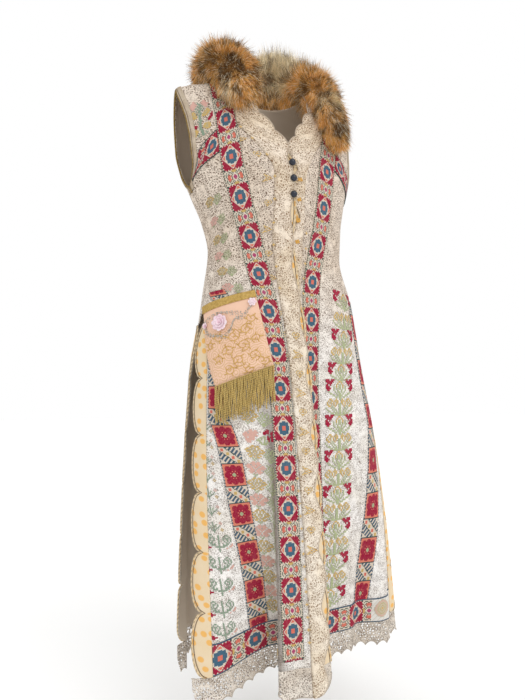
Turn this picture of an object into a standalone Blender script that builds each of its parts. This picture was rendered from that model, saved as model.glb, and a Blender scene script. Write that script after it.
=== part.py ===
# A long sleeveless folk coat, worn open in front: two fronts and a back of lace patchwork,
# scalloped edges, ribbon bands, a brocade pocket with a fringe, and a fur collar.
# Metres, +Z up, the front faces -Y, the wearer's right is at -X.
# The origin lies between the shoulders, at the height where the coat's neck rests.
#
# The cloth follows one surface, read by two values: an angle round the body, 0 at the
# front and 90 at the wearer's left side, and a height. Every wall is lofted between an
# outer and an inner grid of its points, moved along the same surface direction, so that
# what lies on a panel follows it and panels meet at their seams with an even gap.
import math

import bmesh
import bpy
import numpy as np

GAP = 0.0003
CLOTH = 0.0022
BAND = 0.0012
TRIM = 0.0012
PIPING = 0.0024
EDGE_TRIM_WIDTH = 0.040
PIPING_WIDTH = 0.009
BAND_WIDTH = 0.044
ARMHOLE_TRIM_WIDTH = 0.015
UNDERARM_LIFT = 0.0044

UNDERARM_ROW = 7
YOKE_ROWS = (4, 7)
SKIRT_BAND_ROW = 14
YOKE_SIDE_GAP = 0.004
YOKE_LIFT = 0.0009
SLIT_TOP = -0.52
EDGE_SCALLOP_TOP = -0.19
SCALLOP_PITCH = 0.1125
SCALLOP_DEPTH = 0.024
BODICE_SCALLOP_DEPTH = 0.012
COLUMN_GAP = 0.004
SCALLOP_STEPS = 4
LACE_STEPS = 2
HEM_BAND_STEPS = 2
SLIT_STEPS = 26
HEM = SLIT_TOP - SCALLOP_PITCH * SLIT_STEPS / SCALLOP_STEPS

# How far the left front lies behind the right one, and over which angles and heights.
LAP = 0.009
LAP_ANGLES = (12.0, 48.0)
LAP_HEIGHTS = (-0.10, -0.18)

# Free columns of a front: parts of the way across, above and below the waist.
BODICE_PARTS = (0.36, 0.52, 0.68, 0.84)
SKIRT_PARTS = (0.36, 0.70)
WAIST_HEIGHTS = (-0.36, -0.44)
BAND_SIDE_STEP = 0.018
BAND_SIDE_PART = 0.2
BACK_COLUMNS = 18
NECK_SEAM_PART = 0.28
SAMPLES = 400

# Half widths to the wearer's right and left, and depths, of the coat at each height.
RING_COLUMNS = ("height", "right", "left", "front", "back")
RINGS = [
    (0.000, 0.075, 0.075, 0.050, 0.060),
    (-0.015, 0.120, 0.120, 0.055, 0.068),
    (-0.030, 0.168, 0.168, 0.062, 0.075),
    (-0.045, 0.212, 0.208, 0.070, 0.082),
    (-0.100, 0.214, 0.208, 0.092, 0.100),
    (-0.160, 0.211, 0.205, 0.110, 0.108),
    (-0.200, 0.200, 0.196, 0.117, 0.110),
    (-0.250, 0.176, 0.185, 0.120, 0.112),
    (-0.300, 0.152, 0.178, 0.118, 0.108),
    (-0.360, 0.138, 0.178, 0.110, 0.101),
    (-0.450, 0.150, 0.208, 0.114, 0.108),
    (-0.520, 0.160, 0.222, 0.122, 0.118),
    (-0.600, 0.174, 0.238, 0.128, 0.130),
    (-0.800, 0.187, 0.285, 0.145, 0.155),
    (-1.030, 0.196, 0.323, 0.158, 0.175),
    (-1.2513, 0.203, 0.350, 0.165, 0.190),
]

# How far each panel's side edge lies from the side line, in degrees.
SIDE_COLUMNS = ("height", "front_right", "front_left", "back_right", "back_left")
SIDES = [
    (-0.045, 0.0, 0.0, 0.0, 0.0),
    (-0.080, 12.0, 12.0, 9.0, 9.0),
    (-0.120, 19.0, 19.0, 15.0, 15.0),
    (-0.160, 21.0, 21.0, 17.0, 17.0),
    (-0.200, 18.0, 18.0, 15.0, 15.0),
    (-0.225, 10.0, 10.0, 9.0, 9.0),
    (-0.240, 0.0, 0.0, 0.0, 0.0),
    (-0.520, 0.0, 0.0, 0.0, 0.0),
    (-0.620, 4.0, 2.0, 5.0, 2.0),
    (-1.2513, 19.0, 9.0, 22.0, 9.0),
]

# Heights of each row at the front edge, at the side and at the middle of the back.
ROW_COLUMNS = ("front", "side", "back")
BODICE_ROWS = [
    (0.000, -0.045, 0.000),
    (-0.025, -0.080, -0.034),
    (-0.050, -0.112, -0.068),
    (-0.073, -0.144, -0.102),
    (-0.095, -0.174, -0.134),
    (-0.118, -0.198, -0.166),
    (-0.140, -0.220, -0.196),
    (-0.168, -0.240, -0.226),
    (-0.205, -0.268, -0.258),
    (-0.243, -0.298, -0.290),
    (-0.282, -0.330, -0.324),
    (-0.322, -0.362, -0.358),
    (-0.362, -0.394, -0.391),
    (-0.402, -0.426, -0.424),
    (-0.442, -0.458, -0.457),
    (-0.481, -0.489, -0.489),
]

# Where the two front edges run, across the body.
EDGE_COLUMNS = ("height", "right", "left")
EDGES = [
    (0.000, -0.075, 0.075),
    (-0.050, -0.090, 0.070),
    (-0.085, -0.086, 0.052),
    (-0.115, -0.066, 0.030),
    (-0.140, -0.046, 0.014),
    (-0.180, -0.014, -0.008),
    (-0.205, 0.000, -0.018),
    (-0.300, 0.000, -0.024),
    (-0.360, 0.003, -0.022),
    (-0.450, 0.012, -0.030),
    (-0.600, 0.028, -0.030),
    (-0.800, 0.038, -0.022),
    (-1.000, 0.046, -0.014),
    (-1.2513, 0.053, -0.008),
]

# Where the middles of the long bands run, across the body.
BAND_COLUMNS = ("height", "front_right", "front_left", "skirt_right", "skirt_left")
BANDS = [
    (0.000, -0.140, 0.130, -0.300, 0.400),
    (-0.100, -0.137, 0.110, -0.300, 0.400),
    (-0.190, -0.131, 0.090, -0.300, 0.400),
    (-0.270, -0.111, 0.079, -0.300, 0.400),
    (-0.350, -0.087, 0.068, -0.300, 0.400),
    (-0.430, -0.072, 0.051, -0.260, 0.360),
    (-0.500, -0.058, 0.043, -0.220, 0.300),
    (-0.620, -0.044, 0.038, -0.183, 0.262),
    (-0.750, -0.038, 0.044, -0.141, 0.236),
    (-0.900, -0.035, 0.056, -0.114, 0.228),
    (-1.060, -0.033, 0.066, -0.084, 0.211),
    (-1.2513, -0.029, 0.072, -0.060, 0.190),
]

# Folds: their middle and half widths in degrees, the height where they start, how far they
# push at the hem and in which direction (0 is straight back), and how far they lift the hem.
FOLD_COLUMNS = ("middle", "before", "after", "top", "push", "heading", "lift")
FOLDS = {
    "front_right": [
        (-26.0, 38.0, 9.0, -0.60, 0.090, 52.0, 0.026),
        (-62.0, 12.0, 12.0, -0.66, 0.012, 55.0, 0.000),
        (3.0, 9.0, 14.0, -0.70, -0.012, 0.0, 0.000),
        (-74.0, 34.0, 44.0, -0.70, 0.045, 208.0, 0.000),
        (-74.0, 30.0, 44.0, -1.06, 0.000, 0.0, -0.016),
    ],
    "front_left": [
        (14.0, 60.0, 62.0, -0.50, 0.082, 0.0, 0.000),
        (38.0, 9.0, 12.0, -0.66, 0.022, -20.0, 0.000),
        (66.0, 12.0, 12.0, -0.72, 0.020, -45.0, 0.000),
    ],
    "back": [
        (118.0, 13.0, 14.0, -0.56, 0.026, 225.0, 0.000),
        (152.0, 15.0, 17.0, -0.50, 0.044, 205.0, 0.006),
        (184.0, 13.0, 12.0, -0.62, 0.030, 180.0, 0.000),
        (213.0, 16.0, 15.0, -0.54, 0.040, 155.0, 0.004),
        (240.0, 11.0, 10.0, -0.70, 0.018, 130.0, 0.000),
        (254.0, 60.0, 40.0, -1.06, 0.000, 0.0, -0.034),
    ],
}
FOLD_GROWTH = 1.25

# The collar's middle line from its right end, behind the neck, to its left end: half its
# width, half its thickness with the fur, and how far it leans out from lying flat.
FUR_COLUMNS = ("station", "across", "depth", "height", "half_width", "thickness", "lean")
FUR = [
    (0.0, -0.112, -0.098, -0.078, 0.018, 0.014, 62.0),
    (0.5, -0.114, -0.090, -0.058, 0.050, 0.030, 58.0),
    (1.0, -0.116, -0.070, -0.022, 0.062, 0.038, 46.0),
    (2.0, -0.122, -0.018, 0.022, 0.066, 0.046, 22.0),
    (3.0, -0.108, 0.050, 0.034, 0.058, 0.044, 34.0),
    (4.0, -0.060, 0.092, 0.052, 0.056, 0.038, 56.0),
    (5.0, 0.000, 0.104, 0.068, 0.056, 0.036, 66.0),
    (6.0, 0.060, 0.092, 0.076, 0.058, 0.038, 56.0),
    (7.0, 0.102, 0.046, 0.060, 0.060, 0.042, 36.0),
    (8.0, 0.108, -0.012, 0.030, 0.064, 0.044, 30.0),
    (9.0, 0.102, -0.066, -0.026, 0.064, 0.040, 50.0),
    (9.7, 0.108, -0.096, -0.086, 0.058, 0.034, 66.0),
    (10.2, 0.116, -0.108, -0.122, 0.018, 0.014, 72.0),
]
FUR_STATIONS = 42
FUR_SIDES = 18
FUR_LUMPS = {"size": 0.09, "along": 2.4, "round": 2.1}
FUR_CLEARANCE = 0.0038
FUR_STEP = 0.0004

# Pocket corners on the right front: angle and height.
POCKET_TOP = ((-84.0, -0.486), (-33.0, -0.458))
POCKET_BOTTOM = ((-59.0, -0.652), (-18.0, -0.608))
POCKET_ACROSS = 7
POCKET_DOWN = 6
POCKET_OUT = 0.0034
POCKET_THICKNESS = 0.0018
BRAID_HEIGHT = 0.016
BRAID_THICKNESS = 0.0022
FRINGE_STRANDS = 34
FRINGE_STRIP = 0.012
FRINGE_LENGTH = 0.082
FRINGE_THICKNESS = 0.0026

BUTTON_HEIGHTS = (-0.198, -0.230, -0.262)
BUTTON_INSET = 0.009
BUTTON_RADIUS = 0.007
BUTTON_HALF_HEIGHT = 0.004

# Lace hem: its holes, its waves, and the plain end of the right front with its round corner.
LACE_HOLE_CELLS = {"front_right": 24, "front_left": 20, "back": 30}
LACE_DROPS = (0.0, 0.30, 0.52, 1.0)
LACE_WAVE = 0.007
LACE_PLAIN = {"front_right": 0.112, "front_left": 0.0, "back": 0.0}
LACE_CORNER = 0.022
SHARP_ANGLE = 50

# Colour, roughness and metallic value of each kind of piece.
FINISH_COLUMNS = ("name", "colour", "roughness", "metallic")
FINISHES = [
    ("lace_cloth", (0.69, 0.59, 0.49), 0.85, 0.0),
    ("band_ribbon", (0.42, 0.03, 0.07), 0.80, 0.0),
    ("edge_facing", (0.86, 0.68, 0.42), 0.80, 0.0),
    ("hem_lace", (0.60, 0.53, 0.46), 0.85, 0.0),
    ("pocket_brocade", (0.76, 0.50, 0.34), 0.60, 0.1),
    ("gold_thread", (0.42, 0.31, 0.10), 0.45, 0.5),
    ("fur", (0.34, 0.18, 0.07), 0.90, 0.0),
    ("button_black", (0.01, 0.013, 0.02), 0.25, 0.0),
]


def start_scene():
    for item in list(bpy.data.objects):
        bpy.data.objects.remove(item)
    collection = bpy.data.collections.new("embroidered_folk_vest")
    bpy.context.scene.collection.children.link(collection)
    return collection


def make_finish(node, kind):
    row = next(row for row in FINISHES if row[0] == kind)
    finish = dict(zip(FINISH_COLUMNS, row))
    material = bpy.data.materials.new(node)
    material.use_nodes = True
    shader = material.node_tree.nodes["Principled BSDF"]
    shader.inputs["Base Color"].default_value = (*finish["colour"], 1.0)
    shader.inputs["Roughness"].default_value = finish["roughness"]
    shader.inputs["Metallic"].default_value = finish["metallic"]
    return material


def smooth_curve(keys, values, at):
    # A curve through the points that never overshoots them.
    keys = np.asarray(keys, float)
    values = np.asarray(values, float)
    if keys[0] > keys[-1]:
        keys = keys[::-1]
        values = values[::-1]
    at = np.clip(np.asarray(at, float), keys[0], keys[-1])
    steps = np.diff(keys)
    rises = np.diff(values) / steps
    slopes = np.zeros(len(keys))
    slopes[0] = rises[0]
    slopes[-1] = rises[-1]
    before = rises[:-1]
    after = rises[1:]
    same_way = before * after > 0
    total = np.where(same_way, before + after, 1.0)
    slopes[1:-1] = np.where(same_way, 2 * before * after / total, 0.0)
    index = np.clip(np.searchsorted(keys, at) - 1, 0, len(steps) - 1)
    step = steps[index]
    part = (at - keys[index]) / step
    rest = 1 - part
    return (
        values[index] * (1 + 2 * part) * rest ** 2
        + values[index + 1] * (3 - 2 * part) * part ** 2
        + slopes[index] * step * part * rest ** 2
        - slopes[index + 1] * step * rest * part ** 2
    )


def read_table(columns, rows, name, at):
    place = columns.index(name)
    return smooth_curve([row[0] for row in rows], [row[place] for row in rows], at)


def ease(value):
    value = np.clip(value, 0.0, 1.0)
    return value * value * (3 - 2 * value)


def ring_point(angle, height):
    # A point of the plain surface, before folds. Angles are in degrees.
    turn = np.radians(angle)
    right = read_table(RING_COLUMNS, RINGS, "right", height)
    left = read_table(RING_COLUMNS, RINGS, "left", height)
    front = read_table(RING_COLUMNS, RINGS, "front", height)
    back = read_table(RING_COLUMNS, RINGS, "back", height)
    across = np.where(np.sin(turn) > 0, left, right) * np.sin(turn)
    depth = -np.where(np.cos(turn) > 0, front, back) * np.cos(turn)
    return np.stack([across, depth, np.broadcast_to(height, across.shape)], axis=-1)


def surface_point(panel, angle, height):
    angle = np.asarray(angle, float)
    height = np.broadcast_to(np.asarray(height, float), angle.shape)
    point = ring_point(angle, height)
    for row in FOLDS[panel]:
        fold = dict(zip(FOLD_COLUMNS, row))
        offset = angle - fold["middle"]
        reach = np.where(offset < 0, fold["before"], fold["after"])
        swell = np.cos(np.clip(np.abs(offset) / reach, 0, 1) * math.pi / 2) ** 2
        drop = np.clip((fold["top"] - height) / (fold["top"] - HEM), 0, 1)
        strength = swell * drop ** FOLD_GROWTH
        heading = math.radians(fold["heading"])
        point[..., 0] += fold["push"] * strength * math.sin(heading)
        point[..., 1] += fold["push"] * strength * math.cos(heading)
        point[..., 2] += fold["lift"] * swell * drop ** 2
    if panel == "front_left":
        under = ease((LAP_ANGLES[1] - angle) / (LAP_ANGLES[1] - LAP_ANGLES[0]))
        under = under * ease((LAP_HEIGHTS[0] - height) / (LAP_HEIGHTS[0] - LAP_HEIGHTS[1]))
        point[..., 1] += LAP * under
    return point


def surface_direction(panel, angle, height):
    # The direction straight out of the surface.
    small_angle = 0.4
    small_height = 0.002
    round_body = surface_point(panel, angle + small_angle, height)
    round_body = round_body - surface_point(panel, angle - small_angle, height)
    up_body = surface_point(panel, angle, np.minimum(height + small_height, 0.0))
    up_body = up_body - surface_point(panel, angle, height - small_height)
    direction = np.cross(round_body, up_body)
    return direction / np.linalg.norm(direction, axis=-1, keepdims=True)


def edge_angle(across, height):
    side = "left" if across > 0 else "right"
    width = read_table(RING_COLUMNS, RINGS, side, height)
    return math.degrees(math.asin(max(-1.0, min(1.0, across / float(width)))))


def scallop(height, phase):
    # How far an edge is cut in: nothing at the middle of a scallop, most at a notch.
    place = ((SLIT_TOP - height) / SCALLOP_PITCH + phase) % 1.0
    return SCALLOP_DEPTH * (1 - math.sqrt(max(0.0, 1 - (2 * place - 1) ** 2)))


def row_heights():
    rows = list(BODICE_ROWS)
    for step in range(SLIT_STEPS + 1):
        level = SLIT_TOP - SCALLOP_PITCH * step / SCALLOP_STEPS
        rows.append((level, level, level))
    return rows


def row_height(row, place):
    return row[ROW_COLUMNS.index(place)]


def front_row_path(side, row):
    # The row's angles and heights, from the front edge to the armhole or side edge.
    front_height = row_height(row, "front")
    side_height = row_height(row, "side")
    sign = -1 if side == "right" else 1
    across = float(read_table(EDGE_COLUMNS, EDGES, side, front_height))
    start = edge_angle(across, front_height)
    if front_height == 0.0:
        start = 90.0 * sign
    end = sign * (90.0 - float(read_table(SIDE_COLUMNS, SIDES, "front_" + side, side_height)))
    part = np.linspace(0, 1, SAMPLES)
    angles = start + (end - start) * part
    heights = front_height + (side_height - front_height) * part
    return angles, heights


def lengths_along(points):
    steps = np.linalg.norm(np.diff(points, axis=0), axis=1)
    return np.concatenate([[0.0], np.cumsum(steps)])


def band_middle(name, side, points, heights, lengths):
    # Where a row crosses a band's middle: a skirt band's lies past the deep fold.
    middle = read_table(BAND_COLUMNS, BANDS, name + "_" + side, heights)
    sign = -1 if side == "right" else 1
    past = (points[:, 0] - middle) * sign >= 0
    if not past.any():
        return float(lengths[-1]) + BAND_WIDTH
    if name == "skirt":
        short = np.nonzero(~past)[0]
        place = min(short[-1] + 1, len(lengths) - 1) if len(short) else 0
    else:
        place = np.argmax(past)
    return float(lengths[place])


FRONT_COLUMNS = (
    "edge", "piping", "facing", "band_start", "band_end", "wall", "valley", "lace",
    "skirt_start", "skirt_end", "side_facing", "side_piping", "side",
)


def front_columns(side, row, points, heights, lengths):
    # Distances of the grid's columns from the front edge, along the row.
    whole = float(lengths[-1])
    front_height = row_height(row, "front")
    side_height = row_height(row, "side")
    edge = scallop(front_height, 0.5) if front_height < EDGE_SCALLOP_TOP else 0.0
    if front_height > SLIT_TOP:
        edge *= BODICE_SCALLOP_DEPTH / SCALLOP_DEPTH
    in_slit = side_height < SLIT_TOP + GAP
    side_cut = scallop(side_height, 0.0) if in_slit else 0.0
    trim = EDGE_TRIM_WIDTH if side_height < SLIT_TOP + SCALLOP_PITCH / 2 else ARMHOLE_TRIM_WIDTH
    half = BAND_WIDTH / 2
    inner = whole - trim
    band = min(band_middle("front", side, points, heights, lengths), inner - half - COLUMN_GAP)
    facing = min(EDGE_TRIM_WIDTH, band - half - COLUMN_GAP)
    start = band + half
    free = inner - start
    wall = start + min(BAND_SIDE_STEP, free * BAND_SIDE_PART)
    skirt = band_middle("skirt", side, points, heights, lengths)
    skirt = min(skirt, inner - half - COLUMN_GAP)
    skirt = max(skirt, wall + half + 3 * COLUMN_GAP)
    between = skirt - half - wall
    laid = [wall + between * part for part in SKIRT_PARTS] + [skirt - half, skirt + half]
    plain = [start + free * part for part in BODICE_PARTS]
    upper, lower = WAIST_HEIGHTS
    blend = float(ease((upper - side_height) / (upper - lower)))
    mixed = [a + (b - a) * blend for a, b in zip(plain, laid)]
    return [
        edge, edge + PIPING_WIDTH, facing, band - half, start, wall, *mixed,
        inner, whole - side_cut - PIPING_WIDTH, whole - side_cut,
    ]


def front_grid(side):
    panel = "front_" + side
    sign = -1 if side == "right" else 1
    angle_rows = []
    height_rows = []
    for row in row_heights():
        angles, heights = front_row_path(side, row)
        points = surface_point(panel, angles, heights)
        lengths = lengths_along(points)
        stops = front_columns(side, row, points, heights, lengths)
        angle_rows.append(np.interp(stops, lengths, angles))
        height_rows.append(np.interp(stops, lengths, heights))
    angles = np.array(angle_rows)
    heights = np.array(height_rows)
    points = surface_point(panel, angles, heights)
    directions = surface_direction(panel, angles, heights)
    if sign < 0:
        points = points[:, ::-1]
        directions = directions[:, ::-1]
    keep_seam_gap(points, -1)
    return points, directions


def back_row_path(index, row):
    side_height = row_height(row, "side")
    back_height = row_height(row, "back")
    part = np.linspace(0, 1, SAMPLES)
    if index == 0:
        level = np.clip(np.minimum(part, 1 - part) / NECK_SEAM_PART, 0, 1)
        heights = side_height * (1 - level)
        turn = np.clip((part - NECK_SEAM_PART) / (1 - 2 * NECK_SEAM_PART), 0, 1)
        return 90.0 + 180.0 * turn, heights
    left = float(read_table(SIDE_COLUMNS, SIDES, "back_left", side_height))
    right = float(read_table(SIDE_COLUMNS, SIDES, "back_right", side_height))
    angles = 90.0 + left + (180.0 - left - right) * part
    middle = ease(np.minimum(part, 1 - part) * 2)
    return angles, side_height + (back_height - side_height) * middle


def back_grid():
    angle_rows = []
    height_rows = []
    for index, row in enumerate(row_heights()):
        angles, heights = back_row_path(index, row)
        lengths = lengths_along(surface_point("back", angles, heights))
        whole = lengths[-1]
        side_height = row_height(row, "side")
        cut = scallop(side_height, 0.0) if side_height < SLIT_TOP + GAP else 0.0
        wide = side_height < SLIT_TOP + SCALLOP_PITCH / 2
        trim = EDGE_TRIM_WIDTH if wide else ARMHOLE_TRIM_WIDTH
        first = [cut, cut + PIPING_WIDTH, trim]
        middle = np.linspace(trim, whole - trim, BACK_COLUMNS - 3)[1:-1]
        last = [whole - trim, whole - cut - PIPING_WIDTH, whole - cut]
        stops = [*first, *middle, *last]
        angle_rows.append(np.interp(stops, lengths, angles))
        height_rows.append(np.interp(stops, lengths, heights))
    angles = np.array(angle_rows)
    heights = np.array(height_rows)
    points = surface_point("back", angles, heights)
    directions = surface_direction("back", angles, heights)
    keep_seam_gap(points, 1)
    return points, directions


def keep_seam_gap(points, sign):
    # Fronts and back part by the seam gap along the side line and the shoulder line.
    near = np.abs(points[..., 1]) < GAP * 0.6
    points[..., 1] = np.where(near, sign * GAP * 0.6, points[..., 1])


def wall_object(collection, name, kind, points, directions, outer, inner, left_out=(), loop=False):
    # A wall between two grids: the points moved out by two distances along their directions.
    # Grids run down in rows and to the wearer's left in columns, seen from outside.
    rows, columns = points.shape[:2]
    outer = np.broadcast_to(outer, (rows, columns))[..., None]
    inner = np.broadcast_to(inner, (rows, columns))[..., None]
    sides = [points + directions * outer, points + directions * inner]
    mesh = bmesh.new()
    made = {}

    def corner(side, row, column):
        key = (side, row % rows, column)
        if key not in made:
            made[key] = mesh.verts.new(sides[side][row % rows, column])
        return made[key]

    def cell_is_cloth(row, column):
        if loop:
            row = row % rows
        inside = 0 <= row < cell_rows and 0 <= column < columns - 1
        return inside and (row, column) not in left_out

    cell_rows = rows if loop else rows - 1
    for row in range(cell_rows):
        for column in range(columns - 1):
            if not cell_is_cloth(row, column):
                continue
            a, b = (row, column), (row, column + 1)
            c, d = (row + 1, column + 1), (row + 1, column)
            for turn in ((a, d, c), (a, c, b)):
                mesh.faces.new([corner(0, *place) for place in turn])
                mesh.faces.new([corner(1, *place) for place in reversed(turn)])
            borders = [
                ((row - 1, column), a, b),
                ((row, column + 1), b, c),
                ((row + 1, column), c, d),
                ((row, column - 1), d, a),
            ]
            for neighbour, start, end in borders:
                if cell_is_cloth(*neighbour):
                    continue
                mesh.faces.new([corner(0, *start), corner(0, *end), corner(1, *end)])
                mesh.faces.new([corner(0, *start), corner(1, *end), corner(1, *start)])
    data = bpy.data.meshes.new(name)
    mesh.to_mesh(data)
    mesh.free()
    return add_object(collection, name, kind, data)


def add_object(collection, name, kind, data):
    data.materials.append(make_finish(name, kind))
    data.shade_smooth()
    data.set_sharp_from_angle(angle=math.radians(SHARP_ANGLE))
    item = bpy.data.objects.new(name, data)
    collection.objects.link(item)
    return item


def lay_strip(collection, name, kind, grid, rows, columns, lift=GAP, thickness=BAND):
    # A strip on a panel, over the given rows and columns of the panel's grid.
    points, directions = grid
    part = (slice(*rows), slice(*columns))
    wall_object(
        collection, name, kind, points[part], directions[part], lift + np.asarray(thickness), lift
    )


def column_range(side, first, last):
    # Grid columns between two named ones, counted the way the panel's grid runs.
    start = FRONT_COLUMNS.index(first)
    end = FRONT_COLUMNS.index(last)
    if side == "right":
        count = len(FRONT_COLUMNS)
        start, end = count - 1 - end, count - 1 - start
    return start, end + 1


def make_front(collection, side, rows):
    grid = front_grid(side)
    points, directions = grid
    name = "front_" + side
    body = slice(0, rows - LACE_STEPS)
    wall_object(collection, name, "lace_cloth", points[body], directions[body], 0.0, -CLOTH)

    last = rows - LACE_STEPS
    hem_top = last - HEM_BAND_STEPS
    slit_row = len(BODICE_ROWS)
    along = column_range(side, "edge", "facing")
    raised = [PIPING, PIPING, TRIM] if side == "left" else [TRIM, PIPING, PIPING]
    lay_strip(collection, "edge_trim_" + side, "edge_facing", grid, (0, last), along, GAP, raised)
    along = column_range(side, "side_facing", "side")
    raised = raised[::-1]
    rim = "slit_trim_front_" + side
    lay_strip(collection, rim, "edge_facing", grid, (slit_row, last), along, GAP, raised)

    band = column_range(side, "band_start", "band_end")
    band_end = last if side == "right" else hem_top
    lay_strip(collection, "band_front_" + side, "band_ribbon", grid, (0, band_end), band)
    yoke = column_range(side, "wall", "side_facing")
    points, directions = narrowed(grid, YOKE_ROWS, yoke, YOKE_SIDE_GAP)
    wall_object(
        collection, "band_yoke_" + side, "band_ribbon", points, directions,
        YOKE_LIFT + BAND, YOKE_LIFT,
    )
    skirt = column_range(side, "skirt_start", "skirt_end")
    skirt_rows = (SKIRT_BAND_ROW, hem_top)
    lay_strip(collection, "band_skirt_" + side, "band_ribbon", grid, skirt_rows, skirt)
    return grid


def narrowed(grid, rows, columns, distance):
    # A part of a grid with its outer columns drawn in, clear of what lies beside it.
    points = grid[0][slice(*rows), slice(*columns)].copy()
    directions = grid[1][slice(*rows), slice(*columns)]
    for edge, inner in ((0, 1), (-1, -2)):
        step = points[:, inner] - points[:, edge]
        length = np.linalg.norm(step, axis=-1, keepdims=True)
        points[:, edge] += step / length * distance
    return points, directions


def make_hem_band(collection, side, grid, rows):
    last = rows - LACE_STEPS
    first = last - HEM_BAND_STEPS - 1
    inner = "band_end" if side == "right" else "facing"
    columns = column_range(side, inner, "side_facing")
    part = narrowed(grid, (first, last), columns, GAP * 2)
    down = part[0][1] - part[0][0]
    part[0][0] += down / np.linalg.norm(down, axis=-1, keepdims=True) * GAP * 2
    wall_object(
        collection, "band_hem_" + side, "band_ribbon", part[0], part[1], GAP + BAND, GAP
    )


def make_lace_hem(collection, panel, grid, rows):
    # The cutwork lace below a panel: a row of holes and a wavy lower edge.
    bottom = rows - 1 - LACE_STEPS
    columns = LACE_HOLE_CELLS[panel] * 2 + 1
    source = grid[0][bottom:]
    directions = grid[1][bottom:]
    whole = lengths_along(source[0])[-1]
    stops = lengths_along(source[0]) / whole
    across = np.linspace(0, 1, columns + 1)
    points = np.zeros((len(LACE_DROPS), columns + 1, 3))
    outward = np.zeros_like(points)
    for row, drop in enumerate(LACE_DROPS):
        level = drop * LACE_STEPS
        upper = min(int(level), LACE_STEPS - 1)
        part = level - upper
        for axis in range(3):
            line = source[upper, :, axis] * (1 - part) + source[upper + 1, :, axis] * part
            points[row, :, axis] = np.interp(across, stops, line)
            line = directions[upper, :, axis] * (1 - part) + directions[upper + 1, :, axis] * part
            outward[row, :, axis] = np.interp(across, stops, line)
    outward /= np.linalg.norm(outward, axis=-1, keepdims=True)
    points[0, :, 2] -= GAP * 2
    from_end = (1 - across) * whole
    worked = from_end > LACE_PLAIN[panel]
    waves = np.arange(columns + 1) % 2 == 1
    waves[-1] = False
    points[-1, waves & worked, 2] += LACE_WAVE
    if LACE_PLAIN[panel]:
        inward = np.clip(1 - from_end / LACE_CORNER, 0, 1)
        points[-1, :, 2] += LACE_CORNER * (1 - np.sqrt(1 - inward ** 2))
    holes = {(1, column) for column in range(1, columns, 2) if worked[column + 1]}
    name = "lace_hem_" + panel.replace("front_", "")
    wall_object(collection, name, "hem_lace", points, outward, 0.0, -CLOTH, holes)


def make_armhole_trim(collection, side, front, back):
    # A ring of trim round the armhole: down the front's edge, under the arm, up the back's.
    # It stands a little off the cloth at the underarm, where it turns from front to back.
    rows = UNDERARM_ROW + 1
    width = FRONT_COLUMNS.index("side") - FRONT_COLUMNS.index("side_facing") + 1
    front_part = slice(0, width) if side == "right" else slice(-width, None)
    back_part = slice(-width, None) if side == "right" else slice(0, width)
    raised = np.array([PIPING, PIPING, TRIM])
    reach = np.array([0.0, PIPING_WIDTH, ARMHOLE_TRIM_WIDTH])
    if side == "left":
        raised = raised[::-1]
        reach = reach[::-1]
    edge = 0 if side == "right" else -1
    ring = []
    for front_grid_part, back_grid_part in zip(front, back):
        front_rows = front_grid_part[:rows + 1, front_part]
        back_rows = back_grid_part[:rows + 1, back_part][:, ::-1]
        loop = np.concatenate([front_rows[:rows], back_rows[rows - 2:0:-1]])
        loop[0] = (front_rows[0] + back_rows[0]) / 2
        seam = (front_rows[:, edge] + back_rows[:, edge]) / 2
        underarm, below = (row_height(row, "side") for row in BODICE_ROWS[UNDERARM_ROW:rows + 1])
        drop = underarm - below
        part = (reach / drop)[:, None]
        loop[rows - 1] = seam[rows - 1] * (1 - part) + seam[rows] * part
        ring.append(loop)
    lift = np.full((len(ring[0]), 1), GAP * 2)
    lift[rows - 1] = UNDERARM_LIFT
    lift[rows - 2] = UNDERARM_LIFT / 2
    lift[rows] = UNDERARM_LIFT / 2
    wall_object(
        collection, "armhole_trim_" + side, "edge_facing", ring[0], ring[1],
        lift + raised, lift, loop=True,
    )


def patch_grid(across, heights_down, top=POCKET_TOP, bottom=POCKET_BOTTOM):
    # Points of the right front between two slanted lines, read at parts of its height.
    angles = np.zeros((len(heights_down), across + 1))
    heights = np.zeros_like(angles)
    side = np.linspace(0, 1, across + 1)
    for row, part in enumerate(heights_down):
        for target, place in ((angles, 0), (heights, 1)):
            left = top[0][place] + (bottom[0][place] - top[0][place]) * part
            right = top[1][place] + (bottom[1][place] - top[1][place]) * part
            target[row] = left + (right - left) * side
    points = surface_point("front_right", angles, heights)
    return points, surface_direction("front_right", angles, heights)


def make_pocket(collection):
    parts = np.linspace(0, 1, POCKET_DOWN + 1)
    points, directions = patch_grid(POCKET_ACROSS, parts)
    outer = POCKET_OUT + POCKET_THICKNESS
    wall_object(
        collection, "pocket", "pocket_brocade", points, directions, outer, POCKET_OUT
    )
    height = abs(POCKET_BOTTOM[0][1] - POCKET_TOP[0][1])
    part = BRAID_HEIGHT / height
    points, directions = patch_grid(POCKET_ACROSS, (0.0, part))
    lift = outer + GAP
    wall_object(
        collection, "pocket_braid", "gold_thread", points, directions,
        lift + BRAID_THICKNESS, lift,
    )


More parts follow.
